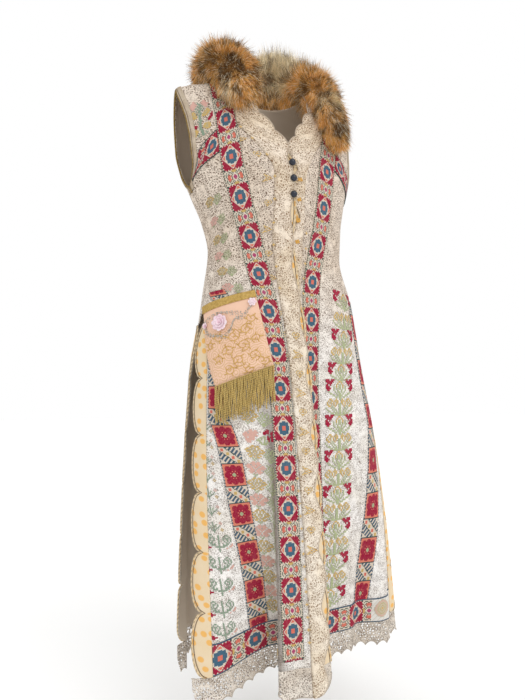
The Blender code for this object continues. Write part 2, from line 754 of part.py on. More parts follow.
def make_fringe(collection):
    # A strip along the pocket's lower edge, with separate strands that hang down the skirt.
    cells = FRINGE_STRANDS * 2 - 1
    height = abs(POCKET_BOTTOM[0][1] - POCKET_TOP[0][1])
    strip = FRINGE_STRIP / height
    end = 1 + FRINGE_LENGTH / height
    parts = (1 - strip * 0.6, 1 + strip * 0.4, 1 + (end - 1) * 0.6, end)
    points, directions = patch_grid(cells, parts)
    bottom = points[1]
    for row in (2, 3):
        drop = FRINGE_LENGTH * (parts[row] - parts[1]) / (end - 1)
        level = bottom[:, 2] - drop
        width = read_table(RING_COLUMNS, RINGS, "right", level)
        depth = read_table(RING_COLUMNS, RINGS, "front", level)
        skirt = -depth * np.sqrt(1 - (bottom[:, 0] / width) ** 2)
        points[row] = np.stack([bottom[:, 0], np.minimum(bottom[:, 1], skirt), level], axis=-1)
    directions[2:] = directions[1]
    left_out = {(row, column) for row in (1, 2) for column in range(1, cells, 2)}
    lift = POCKET_OUT + POCKET_THICKNESS + GAP
    wall_object(
        collection, "pocket_fringe", "gold_thread", points, directions,
        lift + FRINGE_THICKNESS, lift, left_out,
    )


def make_buttons(collection):
    for number, height in enumerate(BUTTON_HEIGHTS, start=1):
        across = float(read_table(EDGE_COLUMNS, EDGES, "right", height)) - BUTTON_INSET
        angle = np.array([edge_angle(across, height)])
        level = np.array([height])
        point = surface_point("front_right", angle, level)[0]
        direction = surface_direction("front_right", angle, level)[0]
        lift = GAP * 2 + PIPING + BUTTON_HALF_HEIGHT
        mesh = bmesh.new()
        bmesh.ops.create_uvsphere(mesh, u_segments=10, v_segments=6, radius=BUTTON_RADIUS)
        scale = BUTTON_HALF_HEIGHT / BUTTON_RADIUS
        for vert in mesh.verts:
            vert.co = (vert.co.x, -vert.co.z * scale, vert.co.y)
        data = bpy.data.meshes.new(f"button_{number}")
        mesh.to_mesh(data)
        mesh.free()
        item = add_object(collection, f"button_{number}", "button_black", data)
        item.location = point + direction * lift


def is_inside(point, margin):
    # Whether a point lies inside the coat's plain surface, or nearer to it than the margin.
    height = point[2]
    if height > margin:
        return False
    level = min(height - margin * 0.3, 0.0)
    widths = [float(read_table(RING_COLUMNS, RINGS, name, level)) for name in RING_COLUMNS[1:]]
    width = widths[1] if point[0] > 0 else widths[0]
    depth = widths[2] if point[1] < 0 else widths[3]
    return math.hypot(point[0] / (width + margin), point[1] / (depth + margin)) < 1


def unit(vectors):
    return vectors / np.linalg.norm(vectors, axis=-1, keepdims=True)


def make_fur(collection):
    # A thick rounded strip round the neck, its sections turned the way the collar lies.
    stations = np.linspace(0, FUR[-1][0], FUR_STATIONS)
    values = {name: read_table(FUR_COLUMNS, FUR, name, stations) for name in FUR_COLUMNS[1:]}
    middle = np.stack([values["across"], values["depth"], values["height"]], axis=-1)
    path = unit(np.gradient(middle, axis=0))
    away = unit(middle * (1, 1, 0))
    lean = np.radians(values["lean"])[:, None]
    normal = away * np.sin(lean) + np.array([0, 0, 1]) * np.cos(lean)
    normal = unit(normal - path * np.sum(normal * path, axis=1, keepdims=True))
    across = np.cross(path, normal)
    mesh = bmesh.new()
    rings = []
    for index in range(FUR_STATIONS):
        ring = []
        for step in range(FUR_SIDES):
            turn = 2 * math.pi * step / FUR_SIDES
            wave = math.sin(index * FUR_LUMPS["along"] + step * FUR_LUMPS["round"])
            size = 1 + FUR_LUMPS["size"] * wave
            point = middle[index] + across[index] * values["half_width"][index] * math.cos(turn) * size
            point = point + normal[index] * values["thickness"][index] * math.sin(turn) * size
            while is_inside(point, FUR_CLEARANCE):
                point = point + normal[index] * FUR_STEP
            ring.append(mesh.verts.new(point))
        rings.append(ring)
    for first, second in zip(rings, rings[1:]):
        for step in range(FUR_SIDES):
            after = (step + 1) % FUR_SIDES
            mesh.faces.new([first[step], second[step], second[after], first[after]])
    mesh.faces.new(rings[0])
    mesh.faces.new(rings[-1][::-1])
    bmesh.ops.recalc_face_normals(mesh, faces=mesh.faces)
    bmesh.ops.triangulate(mesh, faces=mesh.faces)
    data = bpy.data.meshes.new("fur_collar")
    mesh.to_mesh(data)
    mesh.free()
    add_object(collection, "fur_collar", "fur", data)


def make_coat():
    collection = start_scene()
    rows = len(row_heights())
    grids = {}
    for side in ("right", "left"):
        grids[side] = make_front(collection, side, rows)
        make_hem_band(collection, side, grids[side], rows)
        make_lace_hem(collection, "front_" + side, grids[side], rows)
    back = back_grid()
    last = rows - LACE_STEPS
    wall_object(collection, "back", "lace_cloth", back[0][:last], back[1][:last], 0.0, -CLOTH)
    make_lace_hem(collection, "back", back, rows)
    slit_row = len(BODICE_ROWS)
    raised = [PIPING, PIPING, TRIM]
    lay_strip(
        collection, "slit_trim_back_left", "edge_facing", back, (slit_row, last), (0, 3), GAP, raised
    )
    lay_strip(
        collection, "slit_trim_back_right", "edge_facing", back, (slit_row, last), (-3, None),
        GAP, raised[::-1],
    )
    for side in ("right", "left"):
        make_armhole_trim(collection, side, grids[side], back)
    make_pocket(collection)
    make_fringe(collection)
    make_buttons(collection)
    make_fur(collection)


make_coat()
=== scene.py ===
import math

import bmesh
import bpy
import numpy as np
from mathutils import Matrix, Vector


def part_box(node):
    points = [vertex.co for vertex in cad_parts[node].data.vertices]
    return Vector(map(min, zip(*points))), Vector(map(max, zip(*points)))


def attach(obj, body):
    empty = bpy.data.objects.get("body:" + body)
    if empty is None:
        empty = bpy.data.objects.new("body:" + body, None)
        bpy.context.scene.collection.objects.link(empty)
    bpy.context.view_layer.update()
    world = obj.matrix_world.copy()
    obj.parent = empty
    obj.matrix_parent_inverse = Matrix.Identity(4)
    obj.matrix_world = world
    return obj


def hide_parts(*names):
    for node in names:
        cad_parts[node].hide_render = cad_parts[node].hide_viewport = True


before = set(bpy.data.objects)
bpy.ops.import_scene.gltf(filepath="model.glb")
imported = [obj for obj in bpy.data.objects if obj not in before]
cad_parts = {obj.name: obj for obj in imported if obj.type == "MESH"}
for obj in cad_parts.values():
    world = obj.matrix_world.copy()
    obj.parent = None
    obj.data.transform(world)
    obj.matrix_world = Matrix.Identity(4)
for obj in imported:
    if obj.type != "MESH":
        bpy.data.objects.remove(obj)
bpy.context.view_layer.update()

# Colours are written as they look on the cloth. Here they become linear light, less what the
# studio's light adds.
lightLevel = 1.08


def seen(code):
    parts = [int(code[place:place + 2], 16) / 255 for place in (1, 3, 5)]
    linear = [c / 12.92 if c <= 0.04045 else ((c + 0.055) / 1.055) ** 2.4 for c in parts]
    return tuple(value / lightLevel for value in linear)


# Camera, light and floor, from the photograph's view

view = {
    "azimuth": -28.0, "distance": 1.17, "height": -0.65, "aside": -0.012,
    "lens": 27.0, "sensor": 36.0, "lookUp": 0.053, "floor": -1.42, "floorSize": 24.0,
}
sun = {"energy": 0.8, "angle": 0.7, "colour": (1.0, 0.98, 0.96), "down": 52, "round": 14}


def makeCamera():
    turn = math.radians(view["azimuth"])
    back = Vector((math.sin(turn), -math.cos(turn), 0))
    right = Vector((math.cos(turn), math.sin(turn), 0))
    data = bpy.data.cameras.new("camera")
    data.lens = view["lens"]
    data.sensor_width = view["sensor"]
    data.shift_y = view["lookUp"]
    camera = bpy.data.objects.new("camera", data)
    place = back * view["distance"] + right * view["aside"]
    camera.location = (place.x, place.y, view["height"])
    camera.rotation_euler = (math.radians(90), 0, turn)
    bpy.context.scene.collection.objects.link(camera)
    bpy.context.scene.camera = camera


def makeStage():
    world = bpy.data.worlds.new("studio")
    world.use_nodes = True
    world.node_tree.nodes["Background"].inputs["Color"].default_value = (1.0, 1.0, 1.0, 1)
    world.node_tree.nodes["Background"].inputs["Strength"].default_value = 1.0
    bpy.context.scene.world = world
    data = bpy.data.lights.new("keyLight", "SUN")
    data.energy = sun["energy"]
    data.angle = sun["angle"]
    data.color = sun["colour"]
    lamp = bpy.data.objects.new("keyLight", data)
    lamp.rotation_euler = (math.radians(sun["down"]), 0, math.radians(sun["round"]))
    bpy.context.scene.collection.objects.link(lamp)
    data = bpy.data.meshes.new("floor")
    half = view["floorSize"] / 2
    low = view["floor"]
    corners = [(-half, -half, low), (half, -half, low), (half, half, low), (-half, half, low)]
    data.from_pydata(corners, [], [(0, 1, 2, 3)])
    floor = bpy.data.objects.new("floor", data)
    bpy.context.scene.collection.objects.link(floor)
    finish = Finish("floorPaper")
    cloud = finish.noise(finish.where("Object"), 3.0)
    finish.put("Base Color", finish.mix(cloud, (0.94, 0.94, 0.935), (0.97, 0.97, 0.965)))
    finish.put("Roughness", 0.9)
    data.materials.append(finish.material)


# Shader writing: a wire is a number on its way through a material

class Wire:
    def __init__(self, finish, socket):
        self.finish = finish
        self.socket = socket

    def math(self, operation, *others, clamp=False):
        settings = {"operation": operation, "use_clamp": clamp}
        values = {0: self, **{place + 1: other for place, other in enumerate(others)}}
        return self.finish.out("Math", 0, settings, values)

    def flipped(self, operation, other):
        return self.finish.out("Math", 0, {"operation": operation}, {0: other, 1: self})

    def __add__(self, other):
        return self.math("ADD", other)

    def __mul__(self, other):
        return self.math("MULTIPLY", other)

    def __sub__(self, other):
        return self.math("SUBTRACT", other)

    def __truediv__(self, other):
        return self.math("DIVIDE", other)

    def __rsub__(self, other):
        return self.flipped("SUBTRACT", other)

    def __rtruediv__(self, other):
        return self.flipped("DIVIDE", other)

    __radd__ = __add__
    __rmul__ = __mul__

    def above(self, edge, soft):
        return ((self - edge) / soft + 0.5).math("ADD", 0.0, clamp=True)

    def below(self, edge, soft):
        return 1 - self.above(edge, soft)

    def part(self):
        return self.math("FRACT")

    def whole(self):
        return self.math("FLOOR")

    def size(self):
        return self.math("ABSOLUTE")


class Finish:
    def __init__(self, name):
        self.material = bpy.data.materials.new(name)
        self.material.use_nodes = True
        self.tree = self.material.node_tree
        self.shader = self.tree.nodes["Principled BSDF"]
        self.put("Specular IOR Level", 0.12)

    def node(self, kind, settings=None, values=None):
        node = self.tree.nodes.new("ShaderNode" + kind)
        for key, value in (settings or {}).items():
            if key == "stops":
                ramp = node.color_ramp
                while len(ramp.elements) < len(value):
                    ramp.elements.new(0.5)
                for element, (place, colour) in zip(ramp.elements, value):
                    element.position = place
                    element.color = (*colour, 1)
            else:
                setattr(node, key, value)
        for key, value in (values or {}).items():
            self.feed(node.inputs[key], value)
        return node

    def feed(self, socket, value):
        if isinstance(value, str):
            value = seen(value)
        if isinstance(value, Wire):
            self.tree.links.new(value.socket, socket)
        elif isinstance(value, tuple) and len(value) == 3 and socket.type == "RGBA":
            socket.default_value = (*value, 1)
        else:
            socket.default_value = value

    def out(self, kind, output, settings=None, values=None):
        return Wire(self, self.node(kind, settings, values).outputs[output])

    def where(self, kind):
        return self.out("TexCoord", kind)

    def split(self, wire):
        node = self.node("SeparateXYZ", {}, {0: wire})
        return [Wire(self, node.outputs[axis]) for axis in range(3)]

    def noise(self, place, scale, detail=2.0, output="Fac"):
        values = {"Vector": place, "Scale": scale, "Detail": detail}
        return self.out("TexNoise", output, {}, values)

    def cells(self, place, scale, feature="F1", loose=1.0):
        settings = {"feature": feature, "voronoi_dimensions": "2D"}
        values = {"Vector": place, "Scale": scale, "Randomness": loose}
        return self.out("TexVoronoi", "Distance", settings, values)

    def twill(self, place, scale):
        settings = {"bands_direction": "DIAGONAL"}
        return self.out("TexWave", "Fac", settings, {"Vector": place, "Scale": scale})

    def attribute(self, name, output="Fac"):
        return self.out("Attribute", output, {"attribute_name": name})

    def mix(self, factor, first, second):
        return self.out("Mix", 2, {"data_type": "RGBA"}, {0: factor, 6: first, 7: second})

    def put(self, name, value):
        self.feed(self.shader.inputs[name], value)

    def bump(self, height, distance, strength=1.0):
        values = {"Height": height, "Distance": distance, "Strength": strength}
        self.put("Normal", self.out("Bump", 0, {}, values))


# The coat's cloth surface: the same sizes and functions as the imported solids

coat = {
    "slitTop": -0.52, "edgeScallopTop": -0.19, "scallopPitch": 0.1125, "scallopDepth": 0.024,
    "bodiceScallopDepth": 0.012, "scallopSteps": 4, "slitSteps": 26, "hemRow": 40, "lastRow": 42,
    "hemBandRow": 38, "slitRow": 16, "cloth": 0.0022, "lap": 0.009, "bandWidth": 0.044,
    "edgeTrim": 0.040, "armholeTrim": 0.015, "columnGap": 0.004, "seam": 0.00018,
    "foldGrowth": 1.25, "fine": 6, "samples": 400,
}
hem = coat["slitTop"] - coat["scallopPitch"] * coat["slitSteps"] / coat["scallopSteps"]
tables = {
    "rings": (("height", "right", "left", "front", "back"), [
        (0.000, 0.075, 0.075, 0.050, 0.060), (-0.015, 0.120, 0.120, 0.055, 0.068),
        (-0.030, 0.168, 0.168, 0.062, 0.075), (-0.045, 0.212, 0.208, 0.070, 0.082),
        (-0.100, 0.214, 0.208, 0.092, 0.100), (-0.160, 0.211, 0.205, 0.110, 0.108),
        (-0.200, 0.200, 0.196, 0.117, 0.110), (-0.250, 0.176, 0.185, 0.120, 0.112),
        (-0.300, 0.152, 0.178, 0.118, 0.108), (-0.360, 0.138, 0.178, 0.110, 0.101),
        (-0.450, 0.150, 0.208, 0.114, 0.108), (-0.520, 0.160, 0.222, 0.122, 0.118),
        (-0.600, 0.174, 0.238, 0.128, 0.130), (-0.800, 0.187, 0.285, 0.145, 0.155),
        (-1.030, 0.196, 0.323, 0.158, 0.175), (-1.2513, 0.203, 0.350, 0.165, 0.190),
    ]),
    "sides": (("height", "frontRight", "frontLeft", "backRight", "backLeft"), [
        (-0.045, 0.0, 0.0, 0.0, 0.0), (-0.080, 12.0, 12.0, 9.0, 9.0),
        (-0.120, 19.0, 19.0, 15.0, 15.0), (-0.160, 21.0, 21.0, 17.0, 17.0),
        (-0.200, 18.0, 18.0, 15.0, 15.0), (-0.225, 10.0, 10.0, 9.0, 9.0),
        (-0.240, 0.0, 0.0, 0.0, 0.0), (-0.520, 0.0, 0.0, 0.0, 0.0),
        (-0.620, 4.0, 2.0, 5.0, 2.0), (-1.2513, 19.0, 9.0, 22.0, 9.0),
    ]),
    "edges": (("height", "right", "left"), [
        (0.000, -0.075, 0.075), (-0.050, -0.090, 0.070), (-0.085, -0.086, 0.052),
        (-0.115, -0.066, 0.030), (-0.140, -0.046, 0.014), (-0.180, -0.014, -0.008),
        (-0.205, 0.000, -0.018), (-0.300, 0.000, -0.024), (-0.360, 0.003, -0.022),
        (-0.450, 0.012, -0.030), (-0.600, 0.028, -0.030), (-0.800, 0.038, -0.022),
        (-1.000, 0.046, -0.014), (-1.2513, 0.053, -0.008),
    ]),
    "bands": (("height", "frontRight", "frontLeft", "skirtRight", "skirtLeft"), [
        (0.000, -0.140, 0.130, -0.300, 0.400), (-0.100, -0.137, 0.110, -0.300, 0.400),
        (-0.190, -0.131, 0.090, -0.300, 0.400), (-0.270, -0.111, 0.079, -0.300, 0.400),
        (-0.350, -0.087, 0.068, -0.300, 0.400), (-0.430, -0.072, 0.051, -0.260, 0.360),
        (-0.500, -0.058, 0.043, -0.220, 0.300), (-0.620, -0.044, 0.038, -0.183, 0.262),
        (-0.750, -0.038, 0.044, -0.141, 0.236), (-0.900, -0.035, 0.056, -0.114, 0.228),
        (-1.060, -0.033, 0.066, -0.084, 0.211), (-1.2513, -0.029, 0.072, -0.060, 0.190),
    ]),
}
bodiceRows = [
    (0.000, -0.045, 0.000), (-0.025, -0.080, -0.034), (-0.050, -0.112, -0.068),
    (-0.073, -0.144, -0.102), (-0.095, -0.174, -0.134), (-0.118, -0.198, -0.166),
    (-0.140, -0.220, -0.196), (-0.168, -0.240, -0.226), (-0.205, -0.268, -0.258),
    (-0.243, -0.298, -0.290), (-0.282, -0.330, -0.324), (-0.322, -0.362, -0.358),
    (-0.362, -0.394, -0.391), (-0.402, -0.426, -0.424), (-0.442, -0.458, -0.457),
    (-0.481, -0.489, -0.489),
]
foldNames = ("middle", "before", "after", "top", "push", "heading", "lift")
folds = {
    "frontRight": [
        (-26.0, 38.0, 9.0, -0.60, 0.090, 52.0, 0.026), (-62.0, 12.0, 12.0, -0.66, 0.012, 55.0, 0.0),
        (3.0, 9.0, 14.0, -0.70, -0.012, 0.0, 0.0), (-74.0, 34.0, 44.0, -0.70, 0.045, 208.0, 0.0),
        (-74.0, 30.0, 44.0, -1.06, 0.0, 0.0, -0.016),
    ],
    "frontLeft": [
        (14.0, 60.0, 62.0, -0.50, 0.082, 0.0, 0.0), (38.0, 9.0, 12.0, -0.66, 0.022, -20.0, 0.0),
        (66.0, 12.0, 12.0, -0.72, 0.020, -45.0, 0.0),
    ],
    "back": [
        (118.0, 13.0, 14.0, -0.56, 0.026, 225.0, 0.0),
        (152.0, 15.0, 17.0, -0.50, 0.044, 205.0, 0.006),
        (184.0, 13.0, 12.0, -0.62, 0.030, 180.0, 0.0),
        (213.0, 16.0, 15.0, -0.54, 0.040, 155.0, 0.004),
        (240.0, 11.0, 10.0, -0.70, 0.018, 130.0, 0.0), (254.0, 60.0, 40.0, -1.06, 0.0, 0.0, -0.034),
    ],
}


def smoothCurve(keys, values, at):
    keys = np.asarray(keys, float)
    values = np.asarray(values, float)
    if keys[0] > keys[-1]:
        keys, values = keys[::-1], values[::-1]
    at = np.clip(np.asarray(at, float), keys[0], keys[-1])
    steps = np.diff(keys)
    rises = np.diff(values) / steps
    slopes = np.zeros(len(keys))
    slopes[0], slopes[-1] = rises[0], rises[-1]
    before, after = rises[:-1], rises[1:]
    sameWay = before * after > 0
    slopes[1:-1] = np.where(sameWay, 2 * before * after / np.where(sameWay, before + after, 1), 0)
    index = np.clip(np.searchsorted(keys, at) - 1, 0, len(steps) - 1)
    step = steps[index]
    part = (at - keys[index]) / step
    rest = 1 - part
    return (
        values[index] * (1 + 2 * part) * rest ** 2 + values[index + 1] * (3 - 2 * part) * part ** 2
        + slopes[index] * step * part * rest ** 2 - slopes[index + 1] * step * rest * part ** 2
    )


def readTable(table, name, at):
    names, rows = tables[table]
    place = names.index(name)
    return smoothCurve([row[0] for row in rows], [row[place] for row in rows], at)


def ease(value):
    value = np.clip(value, 0.0, 1.0)
    return value * value * (3 - 2 * value)


def surfacePoint(panel, angle, height):
    turn = np.radians(angle)
    height = np.broadcast_to(height, turn.shape)
    across = np.where(
        np.sin(turn) > 0, readTable("rings", "left", height), readTable("rings", "right", height)
    ) * np.sin(turn)
    depth = -np.cos(turn) * np.where(
        np.cos(turn) > 0, readTable("rings", "front", height), readTable("rings", "back", height)
    )
    point = np.stack([across, depth, height], axis=-1)
    for row in folds.get(panel, ()):
        fold = dict(zip(foldNames, row))
        offset = angle - fold["middle"]
        reach = np.where(offset < 0, fold["before"], fold["after"])
        swell = np.cos(np.clip(np.abs(offset) / reach, 0, 1) * math.pi / 2) ** 2
        drop = np.clip((fold["top"] - height) / (fold["top"] - hem), 0, 1)
        strength = swell * drop ** coat["foldGrowth"]
        heading = math.radians(fold["heading"])
        point[..., 0] += fold["push"] * strength * math.sin(heading)
        point[..., 1] += fold["push"] * strength * math.cos(heading)
        point[..., 2] += fold["lift"] * swell * drop ** 2
    if panel == "frontLeft":
        under = ease((48.0 - angle) / 36.0) * ease((-0.10 - height) / 0.08)
        point[..., 1] += coat["lap"] * under
    return point


def surfaceDirection(panel, angle, height):
    stepAngle = 0.4
    stepHeight = 0.002
    round1 = surfacePoint(panel, angle + stepAngle, height)
    round0 = surfacePoint(panel, angle - stepAngle, height)
    up1 = surfacePoint(panel, angle, np.minimum(height + stepHeight, 0.0))
    up0 = surfacePoint(panel, angle, height - stepHeight)
    return unit(np.cross(round1 - round0, up1 - up0))


def unit(vectors):
    return vectors / np.linalg.norm(vectors, axis=-1, keepdims=True)


def runAlong(points):
    return np.concatenate([[0.0], np.cumsum(np.linalg.norm(np.diff(points, axis=0), axis=1))])


def scallop(height, phase):
    place = ((coat["slitTop"] - height) / coat["scallopPitch"] + phase) % 1.0
    return coat["scallopDepth"] * (1 - np.sqrt(np.maximum(0.0, 1 - (2 * place - 1) ** 2)))


class Panel:
    # One cut panel, read by a row number down it and a distance across it from its first edge.
    def __init__(self, name):
        self.name = name
        self.side = {"frontRight": "Right", "frontLeft": "Left"}.get(name, "")
        self.sign = -1 if name == "frontRight" else 1
        self.rows = np.linspace(0, coat["lastRow"], coat["lastRow"] * coat["fine"] + 1)
        angles, heights = self.paths()
        points = surfacePoint(name, angles, heights)
        steps = np.linalg.norm(np.diff(points, axis=1), axis=2)
        lengths = np.concatenate([np.zeros((len(steps), 1)), np.cumsum(steps, axis=1)], axis=1)
        self.whole = lengths[:, -1]
        self.step = 0.0015
        self.count = int(self.whole.max() / self.step) + 3
        stops = np.arange(self.count) * self.step
        self.angleAt = np.array([np.interp(stops, run, row) for run, row in zip(lengths, angles)])
        self.heightAt = np.array([np.interp(stops, run, row) for run, row in zip(lengths, heights)])
        self.columns = {}
        if self.side:
            self.frontColumns(points, heights, lengths)
        else:
            trims = self.sideTrim()
            cut = self.sideScallops()
            self.columns = {"edge": cut, "side": self.whole - cut, "facing": trims}
            self.columns["sideFacing"] = self.whole - trims

    def sideTrim(self):
        wide = np.clip(self.rows - (coat["slitRow"] - 2), 0, 1)
        return coat["armholeTrim"] + (coat["edgeTrim"] - coat["armholeTrim"]) * wide

    def sideScallops(self):
        begun = np.clip(self.rows - (coat["slitRow"] - 1), 0, 1)
        return scallop(np.minimum(self.sideHeight, coat["slitTop"]), 0.0) * begun

    def rowHeights(self, place):
        levels = [row[place] for row in bodiceRows]
        step = coat["scallopPitch"] / coat["scallopSteps"]
        levels += [coat["slitTop"] - step * count for count in range(coat["slitSteps"] + 1)]
        return np.interp(self.rows, np.arange(len(levels)), levels)

    def paths(self):
        part = np.linspace(0, 1, coat["samples"])[None, :]
        self.sideHeight = self.rowHeights(1)
        if self.side:
            start = self.rowHeights(0)
            self.edgeHeight = start
            across = readTable("edges", self.side.lower(), start)
            widths = [readTable("rings", name, start) for name in ("right", "left")]
            ratio = across / np.where(across < 0, *widths)
            first = np.degrees(np.arcsin(np.clip(ratio, -1, 1)))
            last = self.sign * (90.0 - readTable("sides", "front" + self.side, self.sideHeight))
            angles = first[:, None] + (last - first)[:, None] * part
            heights = start[:, None] + (self.sideHeight - start)[:, None] * part
            return angles, heights
        backHeight = self.rowHeights(2)
        left = readTable("sides", "backLeft", self.sideHeight)
        right = readTable("sides", "backRight", self.sideHeight)
        angles = 90.0 + left[:, None] + (180.0 - left - right)[:, None] * part
        middle = ease(np.minimum(part, 1 - part) * 2)
        heights = self.sideHeight[:, None] + (backHeight - self.sideHeight)[:, None] * middle
        seam = 0.28
        level = np.clip(np.minimum(part, 1 - part) / seam, 0, 1)
        topHeights = self.sideHeight[0] * (1 - level)
        topAngles = 90.0 + 180.0 * np.clip((part - seam) / (1 - 2 * seam), 0, 1)
        blend = np.clip(1 - self.rows, 0, 1)[:, None]
        return angles + (topAngles - angles) * blend, heights + (topHeights - heights) * blend

    def bandMiddle(self, name, points, heights, lengths):
        middle = readTable("bands", name + self.side, heights)
        past = (points[..., 0] - middle) * self.sign >= 0
        first = np.argmax(past, axis=1)
        if name == "skirt":
            last = past.shape[1] - np.argmin(past[:, ::-1], axis=1)
            first = np.minimum(last, past.shape[1] - 1)
        found = np.take_along_axis(lengths, first[:, None], axis=1)[:, 0]
        return np.where(past.any(axis=1), found, self.whole + coat["bandWidth"])

    def frontColumns(self, points, heights, lengths):
        top = self.edgeHeight
        edge = np.where(top < coat["edgeScallopTop"], scallop(top, 0.5), 0.0)
        ratio = coat["bodiceScallopDepth"] / coat["scallopDepth"]
        edge = np.where(top > coat["slitTop"], edge * ratio, edge)
        trim = self.sideTrim()
        half = coat["bandWidth"] / 2
        inner = self.whole - trim
        gap = coat["columnGap"]
        band = np.minimum(self.bandMiddle("front", points, heights, lengths), inner - half - gap)
        facing = np.minimum(coat["edgeTrim"], band - half - gap)
        wall = band + half + np.minimum(0.018, (inner - band - half) * 0.2)
        skirt = self.bandMiddle("skirt", points, heights, lengths)
        skirt = np.maximum(np.minimum(skirt, inner - half - gap), wall + half + 3 * gap)
        self.columns = {
            "edge": edge, "facing": facing, "band": band, "wall": wall, "skirt": skirt,
            "sideFacing": inner, "side": self.whole - self.sideScallops(),
        }

    def column(self, name, rows):
        return np.interp(rows, self.rows, self.columns[name])

    def place(self, rows, across):
        # Points and outward directions at rows and distances across, given as like arrays.
        down = np.clip(rows * coat["fine"], 0, len(self.rows) - 1.001)
        along = np.clip(across / self.step, 0, self.count - 1.001)
        row = down.astype(int)
        column = along.astype(int)
        rowPart = down - row
        columnPart = along - column
        found = []
        for table in (self.angleAt, self.heightAt):
            levels = [
                table[line, column] * (1 - columnPart) + table[line, column + 1] * columnPart
                for line in (row, row + 1)
            ]
            found.append(levels[0] * (1 - rowPart) + levels[1] * rowPart)
        points = surfacePoint(self.name, found[0], found[1])
        return points, surfaceDirection(self.name, found[0], found[1])


# Mesh making

def gridMesh(name, points, finish, uv=None, keep=None, flip=False, colours=None):
    rows, columns = points.shape[:2]
    index = np.arange(rows * columns).reshape(rows, columns)
    quads = np.stack([index[:-1, :-1], index[1:, :-1], index[1:, 1:], index[:-1, 1:]], axis=-1)
    quads = quads.reshape(-1, 4)
    if flip:
        quads = quads[:, ::-1]
    if keep is not None:
        quads = quads[keep.reshape(-1)]
    used, renumbered = np.unique(quads, return_inverse=True)
    quads = renumbered.reshape(-1, 4)
    data = bpy.data.meshes.new(name)
    data.from_pydata(points.reshape(-1, 3)[used].tolist(), [], quads.tolist())
    data.materials.append(finish.material)
    if uv is not None:
        addUv(data, uv.reshape(-1, 2)[used][quads.reshape(-1)])
    if colours is not None:
        addThreads(data, colours.reshape(-1, 3))
    data.shade_smooth()
    return makeObject(name, data)


def makeObject(name, data):
    item = bpy.data.objects.new(name, data)
    bpy.context.scene.collection.objects.link(item)
    return item


def bmeshObject(name, mesh, material):
    data = bpy.data.meshes.new(name)
    mesh.to_mesh(data)
    mesh.free()
    data.materials.append(material)
    data.shade_smooth()
    return makeObject(name, data)


def closeMesh(data, distance, sides):
    # Joins the seam of a wrapped grid and fills its two ends.
    mesh = bmesh.new()
    mesh.from_mesh(data)
    bmesh.ops.remove_doubles(mesh, verts=mesh.verts, dist=distance)
    rims = [edge for edge in mesh.edges if edge.is_boundary]
    bmesh.ops.holes_fill(mesh, edges=rims, sides=sides)
    bmesh.ops.recalc_face_normals(mesh, faces=mesh.faces)
    mesh.to_mesh(data)
    mesh.free()


def addAttribute(data, name, kind, domain, values):
    key = {"FLOAT": "value", "FLOAT_VECTOR": "vector", "FLOAT_COLOR": "color"}[kind]
    layer = data.attributes.new(name, kind, domain)
    layer.data.foreach_set(key, np.asarray(values, float).reshape(-1))


def addThreads(data, colours):
    full = np.concatenate([colours, np.ones((len(colours), 1))], axis=1)
    addAttribute(data, "thread", "FLOAT_COLOR", "FACE", full)


def addUv(data, values):
    layer = data.uv_layers.new(name="UVMap")
    layer.data.foreach_set("uv", values.reshape(-1))


def thicken(item, thickness, lining=None):
    if lining is not None:
        item.data.materials.append(lining.material)
    solid = item.modifiers.new("cloth", "SOLIDIFY")
    solid.thickness = thickness
    solid.offset = -1
    solid.use_even_offset = False
    if lining is not None:
        solid.material_offset = 1
    return item


def finished(item, nodes):
    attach(item, "root")
    if nodes:
        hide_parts(*nodes)
    return item


def plainMesh(item):
    # The object's evaluated mesh in place of its modifiers.
    graph = bpy.context.evaluated_depsgraph_get()
    data = bpy.data.meshes.new_from_object(item.evaluated_get(graph))
    item.modifiers.clear()
    item.data = data
    return item


# Finishes

threadCodes = {
    "r": "#AD0A3C", "b": "#426D86", "s": "#EE7D68", "w": "#F1E3D0",
    "t": "#33504E", "g": "#50655A", "y": "#DDBA70", "m": "#C04A7A",
    "p": "#F08C72", "l": "#B9C296", "k": "#EAB9AB", "o": "#CDB98A",
    "n": "#44627A", "f": "#A9BC9C", "d": "#93A892", "h": "#D9CDB2",
    "a": "#E9CB92", "i": "#E2B163", "x": "#FBF8F2", "z": "#E9E1D2",
    "q": "#F0B452",
}
threads = {letter: seen(code) for letter, code in threadCodes.items()}


